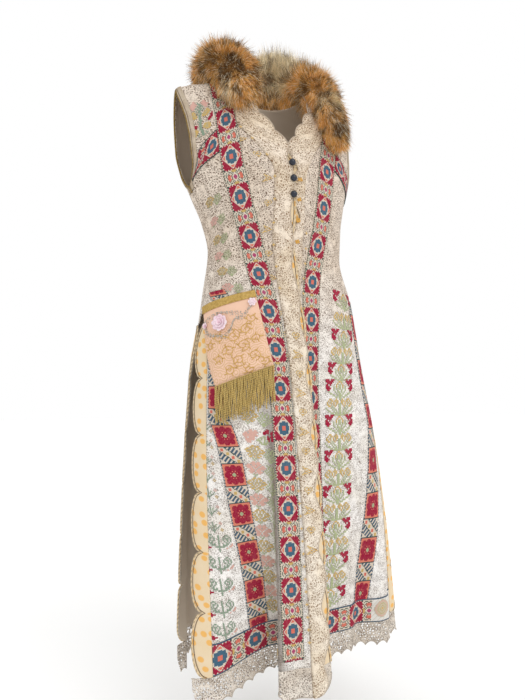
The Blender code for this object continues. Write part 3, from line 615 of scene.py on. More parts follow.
def makeLaceFinish(name, upper, lower, dark, skirtGaps):
    # Needle lace: cords round small gaps, with raised tapes curling through them. It has two
    # tones above the waist, and two paler ones with fewer gaps below.
    finish = Finish(name)
    place = finish.where("UV")
    bend = finish.noise(place, 90.0, output="Color")
    bent = finish.out("Mix", 1, {"data_type": "VECTOR"}, {0: 0.011, 4: place, 5: bend})
    mesh = finish.cells(bent, 230.0, "DISTANCE_TO_EDGE")
    knots = finish.cells(bent, 480.0)
    curl = finish.cells(bent, 26.0, loose=0.85)
    level = finish.split(finish.where("Object"))[2]
    skirt = level.below(-0.5, 0.24)
    tapes = (curl * 40.0).math("SINE").above(0.35, 0.35)
    field = finish.noise(place, 34.0, 3.0)
    gaps = mesh.above(0.17, 0.08) * field.above(0.41, 0.1) * (1 - tapes * 0.7)
    gaps = gaps * (1 - skirt * (1 - skirtGaps))
    sparse = finish.noise(place, 60.0, 1.0)
    specks = knots.below(0.3, 0.12) * sparse.above(0.52, 0.1)
    tone = finish.noise(place, 14.0, 5.0)
    first = finish.mix(tone.above(0.5, 0.2), *upper)
    second = finish.mix(tone.above(0.5, 0.2), *lower)
    cloth = finish.mix(skirt, first, second)
    yarn = finish.noise(place, 420.0)
    cloth = finish.mix(yarn.above(0.5, 0.14) * 0.16, cloth, dark)
    # painted shade: the lace's gaps are darkened to the dark tone, as the shade seen through them,
    # and the specks are darkened the same way
    shaded = finish.mix((gaps + specks * 0.8).math("MINIMUM", 1.0) * 0.9, cloth, dark)
    # painted shadow of the deep fold outside the right front's band, from the panel's shade
    # attribute
    shaded = finish.mix(finish.attribute("shade") * 0.75, shaded, "#6E5F52")
    finish.put("Base Color", shaded)
    finish.put("Roughness", 0.85)
    height = 1 - gaps - specks * 0.4 + tapes * 0.5 + yarn * 0.25
    finish.bump(height, 0.0010, 0.5)
    return finish


def makeStitchFinish():
    finish = Finish("crossStitch")
    place = finish.where("UV")
    across, down, _ = finish.split(place)
    cellX = across.part() - 0.5
    cellY = down.part() - 0.5
    first = (cellX - cellY).size()
    second = (cellX + cellY).size()
    arms = first.math("MINIMUM", second).below(0.2, 0.22)
    rim = cellX.size().math("MAXIMUM", cellY.size()).above(0.44, 0.1)
    number = finish.out("CombineXYZ", 0, {}, {0: across.whole(), 1: down.whole()})
    chance = finish.out("TexWhiteNoise", "Value", {"noise_dimensions": "2D"}, {"Vector": number})
    worn = finish.noise(place, 0.09, 3.0)
    colour = finish.attribute("thread", "Color")
    light = finish.mix(chance * 0.06, colour, "#F0E4D4")
    faded = finish.mix(worn.above(0.66, 0.3) * 0.08, light, "#D9C9B8")
    # painted shade round each stitch's rim and between its crossed arms
    shaded = finish.mix(rim * 0.12 + (1 - arms) * 0.06, faded, "#4A3A32")
    finish.put("Base Color", shaded)
    finish.put("Roughness", 0.72)
    finish.bump(arms - rim * 0.6, 0.0007, 0.8)
    return finish


def makeFacingFinish():
    finish = Finish("dottedFacing")
    place = finish.where("UV")
    dots = finish.cells(place, 46.0, loose=0.6).below(0.27, 0.08)
    cloudy = finish.noise(place, 26.0, 3.0)
    weave = finish.twill(place, 420.0)
    cream = finish.mix(cloudy, "#EBDABF", "#E3CBA2")
    worn = finish.mix(dots * 0.8, cream, "#EFB04A")
    finish.put("Base Color", finish.mix(weave * 0.12, worn, "#B88F58"))
    finish.put("Roughness", 0.8)
    finish.bump(weave * 0.3 + cloudy, 0.0008, 0.5)
    return finish


def makeCordFinish(name, first, second, twist):
    finish = Finish(name)
    across, down, _ = finish.split(finish.where("UV"))
    turns = ((down * twist + across) * 2 * math.pi).math("SINE")
    patch = finish.noise(finish.where("UV"), 40.0)
    tone = finish.mix(patch.above(0.5, 0.3), first, second)
    # painted shade in the grooves between the cord's turns
    finish.put("Base Color", finish.mix(turns.below(-0.3, 0.8) * 0.4, tone, "#4A3C2E"))
    finish.put("Roughness", 0.6)
    finish.bump(turns, 0.0006, 0.7)
    return finish


def makeLiningFinish():
    finish = Finish("liningTwill")
    place = finish.where("Object")
    cloudy = finish.noise(place, 6.0, 4.0)
    fine = finish.noise(place, 700.0, 1.0)
    tone = finish.mix(cloudy, "#C6B7A5", "#D6C9B8")
    finish.put("Base Color", finish.mix(fine * 0.2, tone, "#9A8C7C"))
    finish.put("Roughness", 0.75)
    finish.bump(fine + cloudy * 3.0, 0.0012, 0.5)
    return finish


# Charts: one letter a stitch, a quarter of each traditional motif, from its middle out

charts = {
    "diamond": [
        "ssbbbbwsswr", "ssbbbbwswrr", "bbbbbwwwrrw", "bbbbbwwrrrr", "bbbbbwrrrrr", "bbwwwrrrrrw",
        "wwwwrrrrrrr", "sswrrrrrrrr", "swrrrrrrrrw", "wrrrrrrrrrt", "rrwrrwrrwtt",
    ],
    "scroll": [
        "mmwgwsssgww", "mwwgsssswgw", "wwgwwgsgwgw", "wgwgwwgwwgw", "yygwggwwgww", "yyywwwgwwww",
    ],
    "rosette": [
        "yhohohkh", "hohhohkh", "ohhohkh.", "hhohhkh.", "oohhkh..", "hhkkh...", "kkhh....",
        "hh......",
    ],
}


def flowerUnit():
    # Eight crimson petals on salmon round a sage middle, 22 stitches square.
    at = np.arange(22) - 10.5
    across, down = np.meshgrid(at, at)
    letters = np.full((22, 22), "p")
    for petal in range(8):
        turn = petal * math.pi / 4
        out = across * math.cos(turn) + down * math.sin(turn)
        aside = np.abs(down * math.cos(turn) - across * math.sin(turn))
        reach = 10.2 if petal % 2 == 0 else 11.4
        rounded = ((out - reach + 3) / 3) ** 2 + (aside / 3.0) ** 2 < 1
        tip = np.where(out > reach - 3, rounded, aside < 3.0)
        letters[(out > 1.5) & (aside < out * 0.42 - 0.2) & tip] = "r"
    letters[np.hypot(across, down) < 1.9] = "l"
    return letters


def stepUnit():
    # The spacer between flowers: a ladder of small squares across teal and cream steps.
    down, across = np.mgrid[0:18, 0:22]
    letters = np.where((across + down) % 5 < 2, "w", "n")
    slope = across - down * 22 / 18
    letters[np.abs(slope) < 5.5] = "t"
    letters[np.abs(slope) < 4.2] = "w"
    for number, letter in enumerate("sysy"):
        row, column = 2 + number * 4, 2 + number * 5
        letters[row:row + 3, column:column + 3] = letter
    letters[(slope > 15) | (slope < -15)] = "w"
    letters[0] = letters[-1] = "t"
    return letters


def quarterChart(name, width):
    # A full motif from its quarter: mirrored both ways, width stitches across.
    quarter = np.array([list(row) for row in charts[name]])
    half = np.concatenate([quarter[:, ::-1], quarter], axis=1)
    full = np.concatenate([half[::-1], half], axis=0)
    side = (full.shape[1] - width) // 2
    return full[:, side:side + width] if side > 0 else full


def bandChart(kind, rows, middle):
    # The repeat down a band, placed so that one of its units has its middle at a row.
    if kind == "diamond":
        motif = np.concatenate([quarterChart("diamond", 22), quarterChart("scroll", 22)], axis=0)
        edge = np.full((len(motif), 1), "t")
        edge[1::2] = "h"
    else:
        motif = np.concatenate([flowerUnit(), stepUnit()], axis=0)
        edge = np.full((len(motif), 1), "n")
        edge[2::3] = "w"
    repeat = np.concatenate([edge, motif, edge], axis=1)
    order = (np.arange(rows) + 11 - int(round(middle))) % len(repeat)
    return repeat[order]


def threadColours(letters):
    shown = np.zeros((*letters.shape, 3))
    for letter, colour in threads.items():
        shown[letters == letter] = colour
    return shown


# Panels

shell = {"across": 0.0048, "rowParts": 4, "foldWidth": 0.012, "foldRow": 20}


def makePanel(panel, finish, lining, node):
    lastRow = coat["hemRow"]
    rows = np.linspace(0, lastRow, lastRow * shell["rowParts"] + 1)
    count = int(panel.whole.max() / shell["across"])
    part = np.linspace(0, 1, count)[None, :]
    start = panel.column("edge", rows)[:, None]
    end = panel.column("side", rows)[:, None]
    across = start + (end - start) * part
    down = rows[:, None] + np.zeros_like(across)
    points, directions = panel.place(down, across)
    seam = coat["seam"] * (1 if panel.name == "back" else -1)
    near = np.abs(points[..., 1]) < coat["seam"]
    points[..., 1] = np.where(near, seam, points[..., 1])
    uv = np.stack([across, -points[..., 2] * 1.0], axis=-1)
    item = gridMesh(node, points, finish, uv, flip=panel.sign < 0)
    if panel.name == "frontRight":
        # painted shadow in the deep fold outside the front band, which the lace finish darkens
        wide = shell["foldWidth"]
        inside = panel.column("band", rows)[:, None] + coat["bandWidth"] / 2 + wide / 2
        shade = np.exp(-((across - inside) / wide) ** 2) * ease((down - shell["foldRow"]) / 5)
        addAttribute(item.data, "shade", "FLOAT", "POINT", shade)
    item.name = "shell_" + node
    thicken(item, coat["cloth"], lining)
    finished(item, [node])
    print("panel", node, len(item.data.polygons))
    return item


def ribbonGrid(panel, rows, middle, cells, cell, length, unitRow):
    # Rows and distances across for a ribbon of stitches that follows a column, and the number
    # of the stitch at a given row.
    at = np.linspace(rows[0], rows[1], 400)
    line, _ = panel.place(at, middle(at))
    run = runAlong(line)
    count = max(2, int(round(run[-1] / length)))
    down = np.interp(np.linspace(0, run[-1], count + 1), run, at)[:, None]
    offset = (np.arange(cells + 1) - cells / 2)[None, :] * cell
    across = middle(down[:, 0])[:, None] + offset
    spot = float(np.interp(unitRow, down[:, 0], np.arange(count + 1)))
    return (down + np.zeros_like(across), across), spot


def makeRibbon(name, node, panel, grid, letters, finish, lift, flip=None):
    down, across = grid
    points, directions = panel.place(down, across)
    points = points + directions * lift
    # the ribbon's edges turn down to the cloth
    low = points - directions * (lift - band["sewn"])
    points = np.concatenate([low[:, :1], points, low[:, -1:]], axis=1)
    points = np.concatenate([points[:1], points, points[-1:]], axis=0)
    points[0, 1:-1] = low[0]
    points[-1, 1:-1] = low[-1]
    points[0, 0], points[0, -1] = low[0, 0], low[0, -1]
    points[-1, 0], points[-1, -1] = low[-1, 0], low[-1, -1]
    rows, columns = points.shape[:2]
    padded = np.pad(letters, 1, mode="edge")
    uv = np.stack(np.meshgrid(np.arange(columns), np.arange(rows)), axis=-1).astype(float)
    turned = panel.sign < 0 if flip is None else flip
    colours = threadColours(padded[:rows - 1, :columns - 1])
    item = gridMesh(name, points, finish, uv, flip=turned, colours=colours)
    return finished(item, [node])


band = {
    "cells": 24, "repeat": {"diamond": 34, "flower": 40}, "lift": 0.0016, "yokeLift": 0.0022,
    "front": {"Right": (0.0782, 20.76), "Left": (0.0815, 13.55)},
    "skirt": {"Right": (0.0783, 24.04), "Left": (0.103, 30.21)},
    "yoke": {"Right": (0.056, 0.178), "Left": (0.056, 0.178)},
    "hem": {"Right": (0.082, 0.236), "Left": (0.082, 0.206)},
    "yokeRows": ((4.3, 6.3), (4.9, 6.9)), "hemRows": ((38.0, 40.0), (38.0, 40.0)),
    "patchStart": 0.250, "sewn": 0.0003, "gap": 0.0008, "yokeRepeat": 27, "yokeInset": 0.004,
    "hemInset": 0.0006,
}


def makeBands(panels, finish):
    cell = coat["bandWidth"] / band["cells"]
    for side in ("Right", "Left"):
        panel = panels["front" + side]
        low = side.lower()
        last = coat["hemRow"] - 0.6 if side == "Right" else coat["hemBandRow"]
        for kind, name, column, rows in (
            ("diamond", "front", "band", (0.0, last)), ("flower", "skirt", "skirt", (14.0, 38.0)),
        ):
            pitch, unitRow = band[name][side]
            grid, spot = ribbonGrid(
                panel, rows, lambda at: panel.column(column, at), band["cells"], cell,
                pitch / band["repeat"][kind], unitRow,
            )
            letters = bandChart(kind, len(grid[0]) - 1, spot)
            if panel.sign < 0:
                letters = letters[:, ::-1]
            node = f"{name}_{low}"
            makeRibbon("ribbon_" + node, "band_" + node, panel, grid, letters, finish, band["lift"])
        makeCrossBand(panel, "yoke", "band", finish, band["yokeInset"], band["yokeLift"])
        inner = "facing" if side == "Left" else "wall"
        makeCrossBand(panel, "hem", inner, finish, band["hemInset"], band["lift"])
    print("bands done")


def makeCrossBand(panel, name, first, finish, inset, lift):
    # A ribbon that runs across the panel between two pairs of its rows.
    cells = band["cells"]
    half = coat["bandWidth"] / 2
    inner, outer = band[name + "Rows"]
    pitch, unitAcross = band[name][panel.side]
    part = np.linspace(0, 1, cells + 1)
    startRows = inner[0] + (inner[1] - inner[0]) * part
    endRows = outer[0] + (outer[1] - outer[0]) * part
    start = panel.column(first, startRows) + (half if first == "band" else 0) + band["gap"]
    end = panel.column("sideFacing", endRows) - inset
    length = pitch / (band["yokeRepeat"] if name == "yoke" else band["repeat"]["diamond"])
    count = int(round((end - start)[cells // 2] / length))
    along = np.linspace(0, 1, count + 1)[:, None]
    across = start[None, :] + (end - start)[None, :] * along
    down = startRows[None, :] + (endRows - startRows)[None, :] * along
    spot = (unitAcross - start[cells // 2]) / length
    letters = bandChart("diamond", count, spot)
    if name == "yoke":
        spacer = quarterChart("scroll", 22)[3:8]
        repeat = np.concatenate([quarterChart("diamond", 22), spacer], axis=0)
        edge = np.full((len(repeat), 1), "t")
        repeat = np.concatenate([edge, repeat, edge], axis=1)
        letters = repeat[(np.arange(count) + 11 - int(round(spot))) % len(repeat)]
    elif panel.side == "Left":
        plain = across[:-1, :-1] > band["patchStart"]
        ivory = np.where((np.indices(plain.shape).sum(axis=0) % 5) == 0, "z", "x")
        letters = np.where(plain, ivory, letters)
    if name == "hem":
        letters[:, [0, -1]] = "n"
    node = f"band_{name}_{panel.side.lower()}"
    return makeRibbon(
        "ribbon_" + node, node, panel, (down, across), letters, finish, lift, flip=panel.sign > 0
    )


# Edge facings and piping

def tubeMesh(name, path, outward, radius, sides, finish):
    along = unit(np.gradient(path, axis=0))
    across = unit(np.cross(along, outward))
    up = np.cross(across, along)
    turn = np.linspace(0, 2 * math.pi, sides + 1)
    ring = np.cos(turn)[None, :, None] * across[:, None] + np.sin(turn)[None, :, None] * up[:, None]
    points = path[:, None] + ring * radius
    run = runAlong(path)
    uv = np.stack(np.meshgrid(turn / (2 * math.pi), run * 100), axis=-1)
    item = gridMesh(name, points, finish, uv, flip=True)
    closeMesh(item.data, radius * 0.05, sides)
    return item


trim = {
    "lift": 0.0016, "pipeRadius": 0.0021, "lineRadius": 0.0010, "lineInset": 0.0056, "rim": 0.0008,
    "rowParts": 9, "across": 12, "bulge": 0.0008, "sewn": 0.0004, "rimLift": 0.0006,
}


def makeTrim(panel, node, rows, edgeName, facingName, finishes, replaced=True, kind="facing"):
    # A facing strip along an edge of a panel, with a piped rim and a dark cord inside it.
    at = np.linspace(*rows, int((rows[1] - rows[0]) * trim["rowParts"]) + 1)
    edge = panel.column(edgeName, at)
    facing = panel.column(facingName, at)
    part = np.linspace(0, 1, trim["across"])[None, :]
    across = edge[:, None] + (facing - edge)[:, None] * part
    down = at[:, None] + np.zeros_like(across)
    points, directions = panel.place(down, across)
    lift = trim["lift"] + trim["bulge"] * np.sin(part * math.pi)
    raised = points + directions * lift[..., None]
    low = points + directions * trim["sewn"]
    raised = np.concatenate([low[:, :1], raised, low[:, -1:]], axis=1)
    run = runAlong(points[:, 0])
    widths = np.concatenate([across[:, :1], across, across[:, -1:]], axis=1)
    uv = np.stack([widths, np.repeat(run[:, None], widths.shape[1], axis=1)], axis=-1)
    forward = facing[0] > edge[0]
    flip = (panel.sign < 0) == forward
    strip = gridMesh("facing_" + node, raised, finishes[kind], uv, flip=flip)
    finished(strip, [node] if replaced else [])
    inward = 1 if forward else -1
    rim, rimOut = panel.place(at, edge + inward * trim["rim"])
    pipe = tubeMesh(
        "piping_" + node, rim + rimOut * trim["rimLift"], rimOut, trim["pipeRadius"], 6,
        finishes["pipe" if kind == "facing" else "binding"],
    )
    finished(pipe, [])
    inner, innerOut = panel.place(at, edge + inward * trim["lineInset"])
    cord = tubeMesh(
        "cord_" + node, inner + innerOut * (trim["lift"] + trim["sewn"]), innerOut,
        trim["lineRadius"], 5, finishes["line"],
    )
    finished(cord, [])
    return strip


def makeTrims(panels, finishes):
    last = coat["hemRow"]
    for side in ("Right", "Left"):
        panel = panels["front" + side]
        low = side.lower()
        makeTrim(panel, "edge_trim_" + low, (0.0, last), "edge", "facing", finishes)
        makeTrim(
            panel, "slit_trim_front_" + low, (coat["slitRow"], last), "side", "sideFacing", finishes
        )
    back = panels["back"]
    makeTrim(back, "slit_trim_back_left", (coat["slitRow"], last), "edge", "facing", finishes)
    makeTrim(back, "slit_trim_back_right", (coat["slitRow"], last), "side", "sideFacing", finishes)
    print("trims done")


# Lace that lies over the opening's facings, with its own rounded lobes

overlay = {
    "lift": 0.0042, "rise": 0.0016, "across": 13, "neckReach": 0.006, "neckPitch": 0.034,
    "neckLobe": 0.009, "recess": 0.015, "growth": 0.010, "lobe": 0.006, "inner": 0.010,
    "neckEnd": -0.19, "clasp": (-0.185, -0.345, 0.024), "cornerRows": 1.6, "corner": 0.034,
    "tuck": 0.0034, "thick": 0.0011, "rimRadius": 0.0013, "uvShift": 0.7,
}


def overlayEdge(panel, rows):
    # Where the lace ends, from the panel's uncut edge: in at each scallop, out at each notch.
    heights = np.interp(rows, panel.rows, panel.edgeHeight)
    place = ((coat["slitTop"] - heights) / coat["scallopPitch"] + 0.5) % 1.0
    down = np.clip((coat["slitTop"] - heights) / (coat["slitTop"] - hem), 0, 1)
    recess = overlay["recess"] + overlay["growth"] * down
    top, low, more = overlay["clasp"]
    if panel.name == "frontLeft":
        recess = recess + more * ease((top - heights) / 0.02) * ease((heights - low) / 0.02)
    lower = recess - (recess - overlay["lobe"]) * (0.5 + 0.5 * np.cos(2 * math.pi * place)) ** 0.8
    waves = np.abs(np.sin(math.pi * heights / overlay["neckPitch"]))
    neck = -overlay["neckReach"] - overlay["neckLobe"] * waves ** 0.5
    blend = ease((heights - overlay["neckEnd"]) / 0.025)
    return lower * (1 - blend) + neck * blend


def makeOverlay(panel, finish):
    last = coat["lastRow"] if panel.sign < 0 else coat["hemRow"]
    rows = np.linspace(0.0, last, int(last * 9))
    start = overlayEdge(panel, rows)
    end = panel.column("facing", rows) + overlay["inner"]
    end = np.minimum(end, panel.column("band", rows) - coat["bandWidth"] / 2 + 0.001)
    corner = np.clip((rows - (last - overlay["cornerRows"])) / overlay["cornerRows"], 0, 1)
    if panel.sign < 0:
        start = start + overlay["corner"] * (1 - np.sqrt(1 - corner ** 2))
    part = np.linspace(0, 1, overlay["across"])[None, :]
    across = start[:, None] + (end - start)[:, None] * part
    down = rows[:, None] + np.zeros_like(across)
    points, directions = panel.place(down, np.maximum(across, 0.0))
    inside, _ = panel.place(down, np.maximum(across, 0.0) + 0.006)
    outward = unit(points - inside)
    points = points + outward * np.maximum(-across, 0.0)[..., None]
    lift = overlay["lift"] + overlay["rise"] * np.sin(part * math.pi)
    lift = lift - overlay["tuck"] * (part > 0.98)
    points = points + directions * lift[..., None]
    uv = np.stack([across + overlay["uvShift"], -points[..., 2]], axis=-1)
    name = "opening_lace_" + panel.side.lower()
    item = gridMesh(name, points, finish, uv, flip=panel.sign < 0)
    thicken(item, overlay["thick"])
    finished(item, [])
    rim = tubeMesh("cord_" + name, points[:, 0], directions[:, 0], overlay["rimRadius"], 6, finish)
    finished(rim, [])
    return item


# Embroidered motifs, charted: one letter a stitch, a dot for bare cloth

motifs = {
    "shoulderVine": [
        "..kk......kk........", ".kkkk.d..kkkk.......", "kkkkkk.dd.kkkkk.....",
        ".kkkk.d.dd.kkk......", "..kk.d.dd.d.kk......", "......d.dd..........",
        "..yy.d.dd.d..yy.....", ".yyoy..dd...yoyy....", ".yooy.d.dd.yooyy....",
        "..yyoy.dd.yooyy..r..", "...yyy.dd.yyyy..rr..", ".......dd.......rr..",
        "r......dd......rrr..", "rr....d.dd....rrr...", "rrr....dd.....rr....",
        ".rrrr..dd...........", "..rrrr.dd..yyoy.....", "....r..dd.yyooyy....",
        ".yyyy..dd.yoooyy....", "yyooyy.dd..yooyy....", "yoooyy..dd..yyy.....",
        ".yyoy...dd..........", "..yy..d.dd.d........", ".....d..dd..d.......",
        "......d.dd.d........",
    ],
    "pinkRow": [
        "....kk.kk......l..l...", "...kkkkkkk...l.l.l.l..", ".kk.kk.kk.kk..l.ll.l..",
        "kkkk.kkk.kkkk.l.ll.l.l", ".kkkk.k.kkkk.l.l..l.l.", "...kkk.kkk..l.l.ll.l.l",
        "..kkkk.kkkk..l.l..l.l.", "...kk.k.kk....l.ll.l..", ".....l.l.......llll...",
        "......l.........ll....",
    ],
    "ochreRow": [
        "....yy.yy......l..l...", "...yo.y.oy...l.l.l.l..", ".yy.o.o.o.yy..l.ll.l..",
        "yo.o.ooo.o.oy.l.ll.l.l", ".yyo.o.o.oyy.l.l..l.l.", "...yo.y.oy..l.l.ll.l.l",
        "..y.oo.oo.y..l.l..l.l.", "...yy.y.yy....l.ll.l..", ".....l.l.......llll...",
        "......l.........ll....",
    ],
    "heartRow": [
        "...............rr..rr.", "..............rrr.rr..", "....kk.kk....rrrr.rr..",
        "...kkkkkkk...rr....rrr", ".kk.kkkkk.......r.rrrr", "kkkkkkkkkk...ll.rr.rr.",
        "kkkkkkkk...ll.l.rr.rr.", ".kk.kkkk..l.l.l.lr....", "..kkkkkk.lll..l.l.....",
        "..kkkk.....ll.lll.....", "...kkk......llll......",
    ],
    "hearts": [
        "rrr.rrr........rrr.rrr", "rrrrrr....yy....rrrrrr", ".rrrr....y..y....rrrr.",
        "rr.r....y.ll.y....r.rr", "rrr...l.y.ll.y.l...rrr", "rrrr..l.l.ll.l.l..rrrr",
        ".rr...l..l..l..l...rr.", "..l....l.ll.l.l....l..", "...ll...l.ll.l...ll...",
        ".....ll..llll..ll.....", ".......ll.ll.ll.......", "..........ll..........",
    ],
    "leaves": [
        "...yy...y....y...yy...", "..y.oy.yoy..yoy.yo.y..", ".y.oo.y.oy..yo.y.oo.y.",
        ".yo.o.y.y.ll.y.y.o.oy.", "..yy.l.y..ll..y.l.yy..", "l...l.l...ll...l.l...l",
        ".l...l.l..ll..l.l...l.", "..ll..l.l.ll.l.l..ll..", "....ll.ll.ll.ll.ll....",
        "......llllllllll......",
    ],
    "cup": [
        "...dd....d....dd....", "..d..d...d...d..d...", ".d.dd.d..d..d.dd.d..",
        ".d.d..d..d..d..d.d..", ".d.d.d...d...d.d.d..", "..d.d....d....d.d...",
        "...dd.d..d..d.dd..k.", "....ddd..d..ddd..kk.", "rr.....dddddd...kk..",
        "rrrr.....d....k.....", "rr.......d..........", ".........d..........",
    ],
    "stem": [
        "...k......d......k..", "..k.k.....d.....k.k.", "...k...f..d..f...k..",
        "....d...f.d.f...d...", ".....d..f.d.f..d....", "......dd..d..dd.....",
        "..y.....d.d.d....y..", ".y.y.....ddd....y.y.", "..y.......d......y..",
        "..........d.........",
    ],
    "goldHeart": [".aa.aa.", "a..i..a", "a.aia.a", ".a...a.", "..aia..", "...a..."],
    "goldWing": [
        "aa.......", ".aiaa....", "..a..ai..", "...ia..ia", "..a..ai..", ".aiaa....", "aa.......",
    ],
    "goldDot": [".a.", "aia", ".a."],
    "orangeLeaf": ["..qq.", ".qqqq", "qqiqq", "qqqq.", ".qq.."],
}
motifSpots = ("motif", "row", "across", "turn", "cell", "lift")
clothLift, stripLift = 0.0007, 0.0064


def columnOf(names, first, last, count, turn, cell, lift=clothLift):
    # Motifs that take turns down a line from one row and distance across to another.
    places = np.linspace(0, 1, count)
    return [
        (names[number % len(names)], first[0] + (last[0] - first[0]) * part,
         first[1] + (last[1] - first[1]) * part, turn, cell, lift)
        for number, part in enumerate(places)
    ]


spots = {
    "frontRight": [
        ("shoulderVine", 2.9, 0.104, 14, 0.0029, clothLift),
        *columnOf(("ochreRow", "pinkRow"), (8.7, 0.184), (14.0, 0.142), 6, 8, 0.0021),
        ("ochreRow", 22.8, 0.130, 12, 0.0030, clothLift),
        ("heartRow", 24.1, 0.126, 12, 0.0030, clothLift),
        *columnOf(("ochreRow", "pinkRow"), (25.4, 0.127), (37.0, 0.166), 11, 12, 0.0031),
        *columnOf(("stem",), (23.5, 0.238), (30.3, 0.254), 7, 0, 0.0022),
        *columnOf(("cup",), (31.4, 0.249), (37.4, 0.291), 5, 8, 0.0028),
        *columnOf(("goldHeart", "goldWing"), (4.6, 0.068), (13.6, 0.058), 8, 10, 0.0022),
        *columnOf(("goldDot",), (5.0, 0.052), (14.2, 0.048), 9, 0, 0.0022, stripLift),
        *columnOf(("goldWing", "goldHeart"), (15.5, 0.054), (27.0, 0.058), 9, 0, 0.0024),
        *columnOf(
            ("goldHeart", "goldWing"), (17.0, 0.030), (32.0, 0.036), 12, 8, 0.0025, stripLift,
        ),
        *columnOf(("goldDot",), (27.0, 0.056), (38.2, 0.052), 14, 0, 0.0022, stripLift),
    ],
    "frontLeft": [
        *columnOf(("hearts", "leaves"), (14.3, 0.180), (19.5, 0.158), 5, 0, 0.0036),
        *columnOf(("hearts", "leaves"), (20.8, 0.152), (37.0, 0.124), 13, 0, 0.0037),
        *columnOf(("orangeLeaf",), (8.4, 0.032), (11.6, 0.033), 4, 20, 0.0021, stripLift),
        *columnOf(("goldDot",), (11.0, 0.055), (18.5, 0.050), 10, 0, 0.0022, stripLift),
        ("rosette", 38.9, 0.278, 0, 0.0026, 0.0022),
    ],
    "back": [
        *columnOf(("shoulderVine",), (3.0, 0.20), (15.0, 0.20), 4, 0, 0.0028),
        *columnOf(("hearts", "leaves"), (19.0, 0.20), (38.0, 0.30), 16, 0, 0.0034),
        *columnOf(("ochreRow", "pinkRow"), (17.0, 0.115), (38.0, 0.150), 18, 0, 0.0030),
        *columnOf(("ochreRow", "pinkRow"), (17.0, 0.325), (38.0, 0.480), 18, 0, 0.0030),
    ],
}


def motifLetters(name):
    if name in charts:
        return quarterChart(name, 2 * len(charts[name]))
    return np.array([list(line) for line in motifs[name]])


def stitchMotifs(panel, entries, finish):
    # All of a panel's motifs in one mesh of raised stitches.
    corners, colours, cells = [], [], []
    for entry in entries:
        spot = dict(zip(motifSpots, entry))
        letters = motifLetters(spot["motif"])
        height, width = letters.shape
        middle = spot["across"]
        near = np.clip(np.array([spot["row"] - 0.5, spot["row"] + 0.5]), 0.0, coat["lastRow"])
        pair, _ = panel.place(near, np.array([middle, middle]))
        rowLength = float(np.linalg.norm(pair[1] - pair[0]))
        side = (np.arange(width + 1) - width / 2) * spot["cell"]
        drop = (np.arange(height + 1) - height / 2) * spot["cell"]
        turn = math.radians(spot["turn"])
        u = side[None, :] * math.cos(turn) - drop[:, None] * math.sin(turn)
        v = side[None, :] * math.sin(turn) + drop[:, None] * math.cos(turn)
        points, directions = panel.place(spot["row"] + v / rowLength, middle + panel.sign * u)
        points = points + directions * spot["lift"]
        rows, columns = np.nonzero(letters != ".")
        quad = [points[rows, columns], points[rows + 1, columns], points[rows + 1, columns + 1],
                points[rows, columns + 1]]
        corners.append(np.stack(quad, axis=1))
        colours.append(threadColours(letters)[rows, columns])
        turns = [(0, 0), (0, 1), (1, 1), (1, 0)]
        quad = [np.stack([columns + right, rows + low], axis=-1) for right, low in turns]
        cells.append(np.stack(quad, axis=1))
    corners = np.concatenate(corners)
    colours = np.concatenate(colours)
    cells = np.concatenate(cells).astype(float)
    name = "motifs_" + panel.name
    data = bpy.data.meshes.new(name)
    faces = np.arange(len(corners) * 4).reshape(-1, 4)
    data.from_pydata(corners.reshape(-1, 3).tolist(), [], faces.tolist())
    data.materials.append(finish.material)
    addUv(data, cells)
    addThreads(data, colours)
    mesh = bmesh.new()
    mesh.from_mesh(data)
    bmesh.ops.remove_doubles(mesh, verts=mesh.verts, dist=0.0001)
    mesh.to_mesh(data)
    mesh.free()
    data.shade_smooth()
    item = makeObject(name, data)
    return finished(item, [])


# Cutwork lace under the hem

hemLace = {
    "cell": 0.0018, "seed": 5, "pitch": 0.0066, "small": 0.0009, "large": 0.0023, "wave": 0.010,
    "wavePitch": 0.027, "rim": 0.0022, "thick": 0.0016, "plain": 0.112, "corner": 0.034,
}


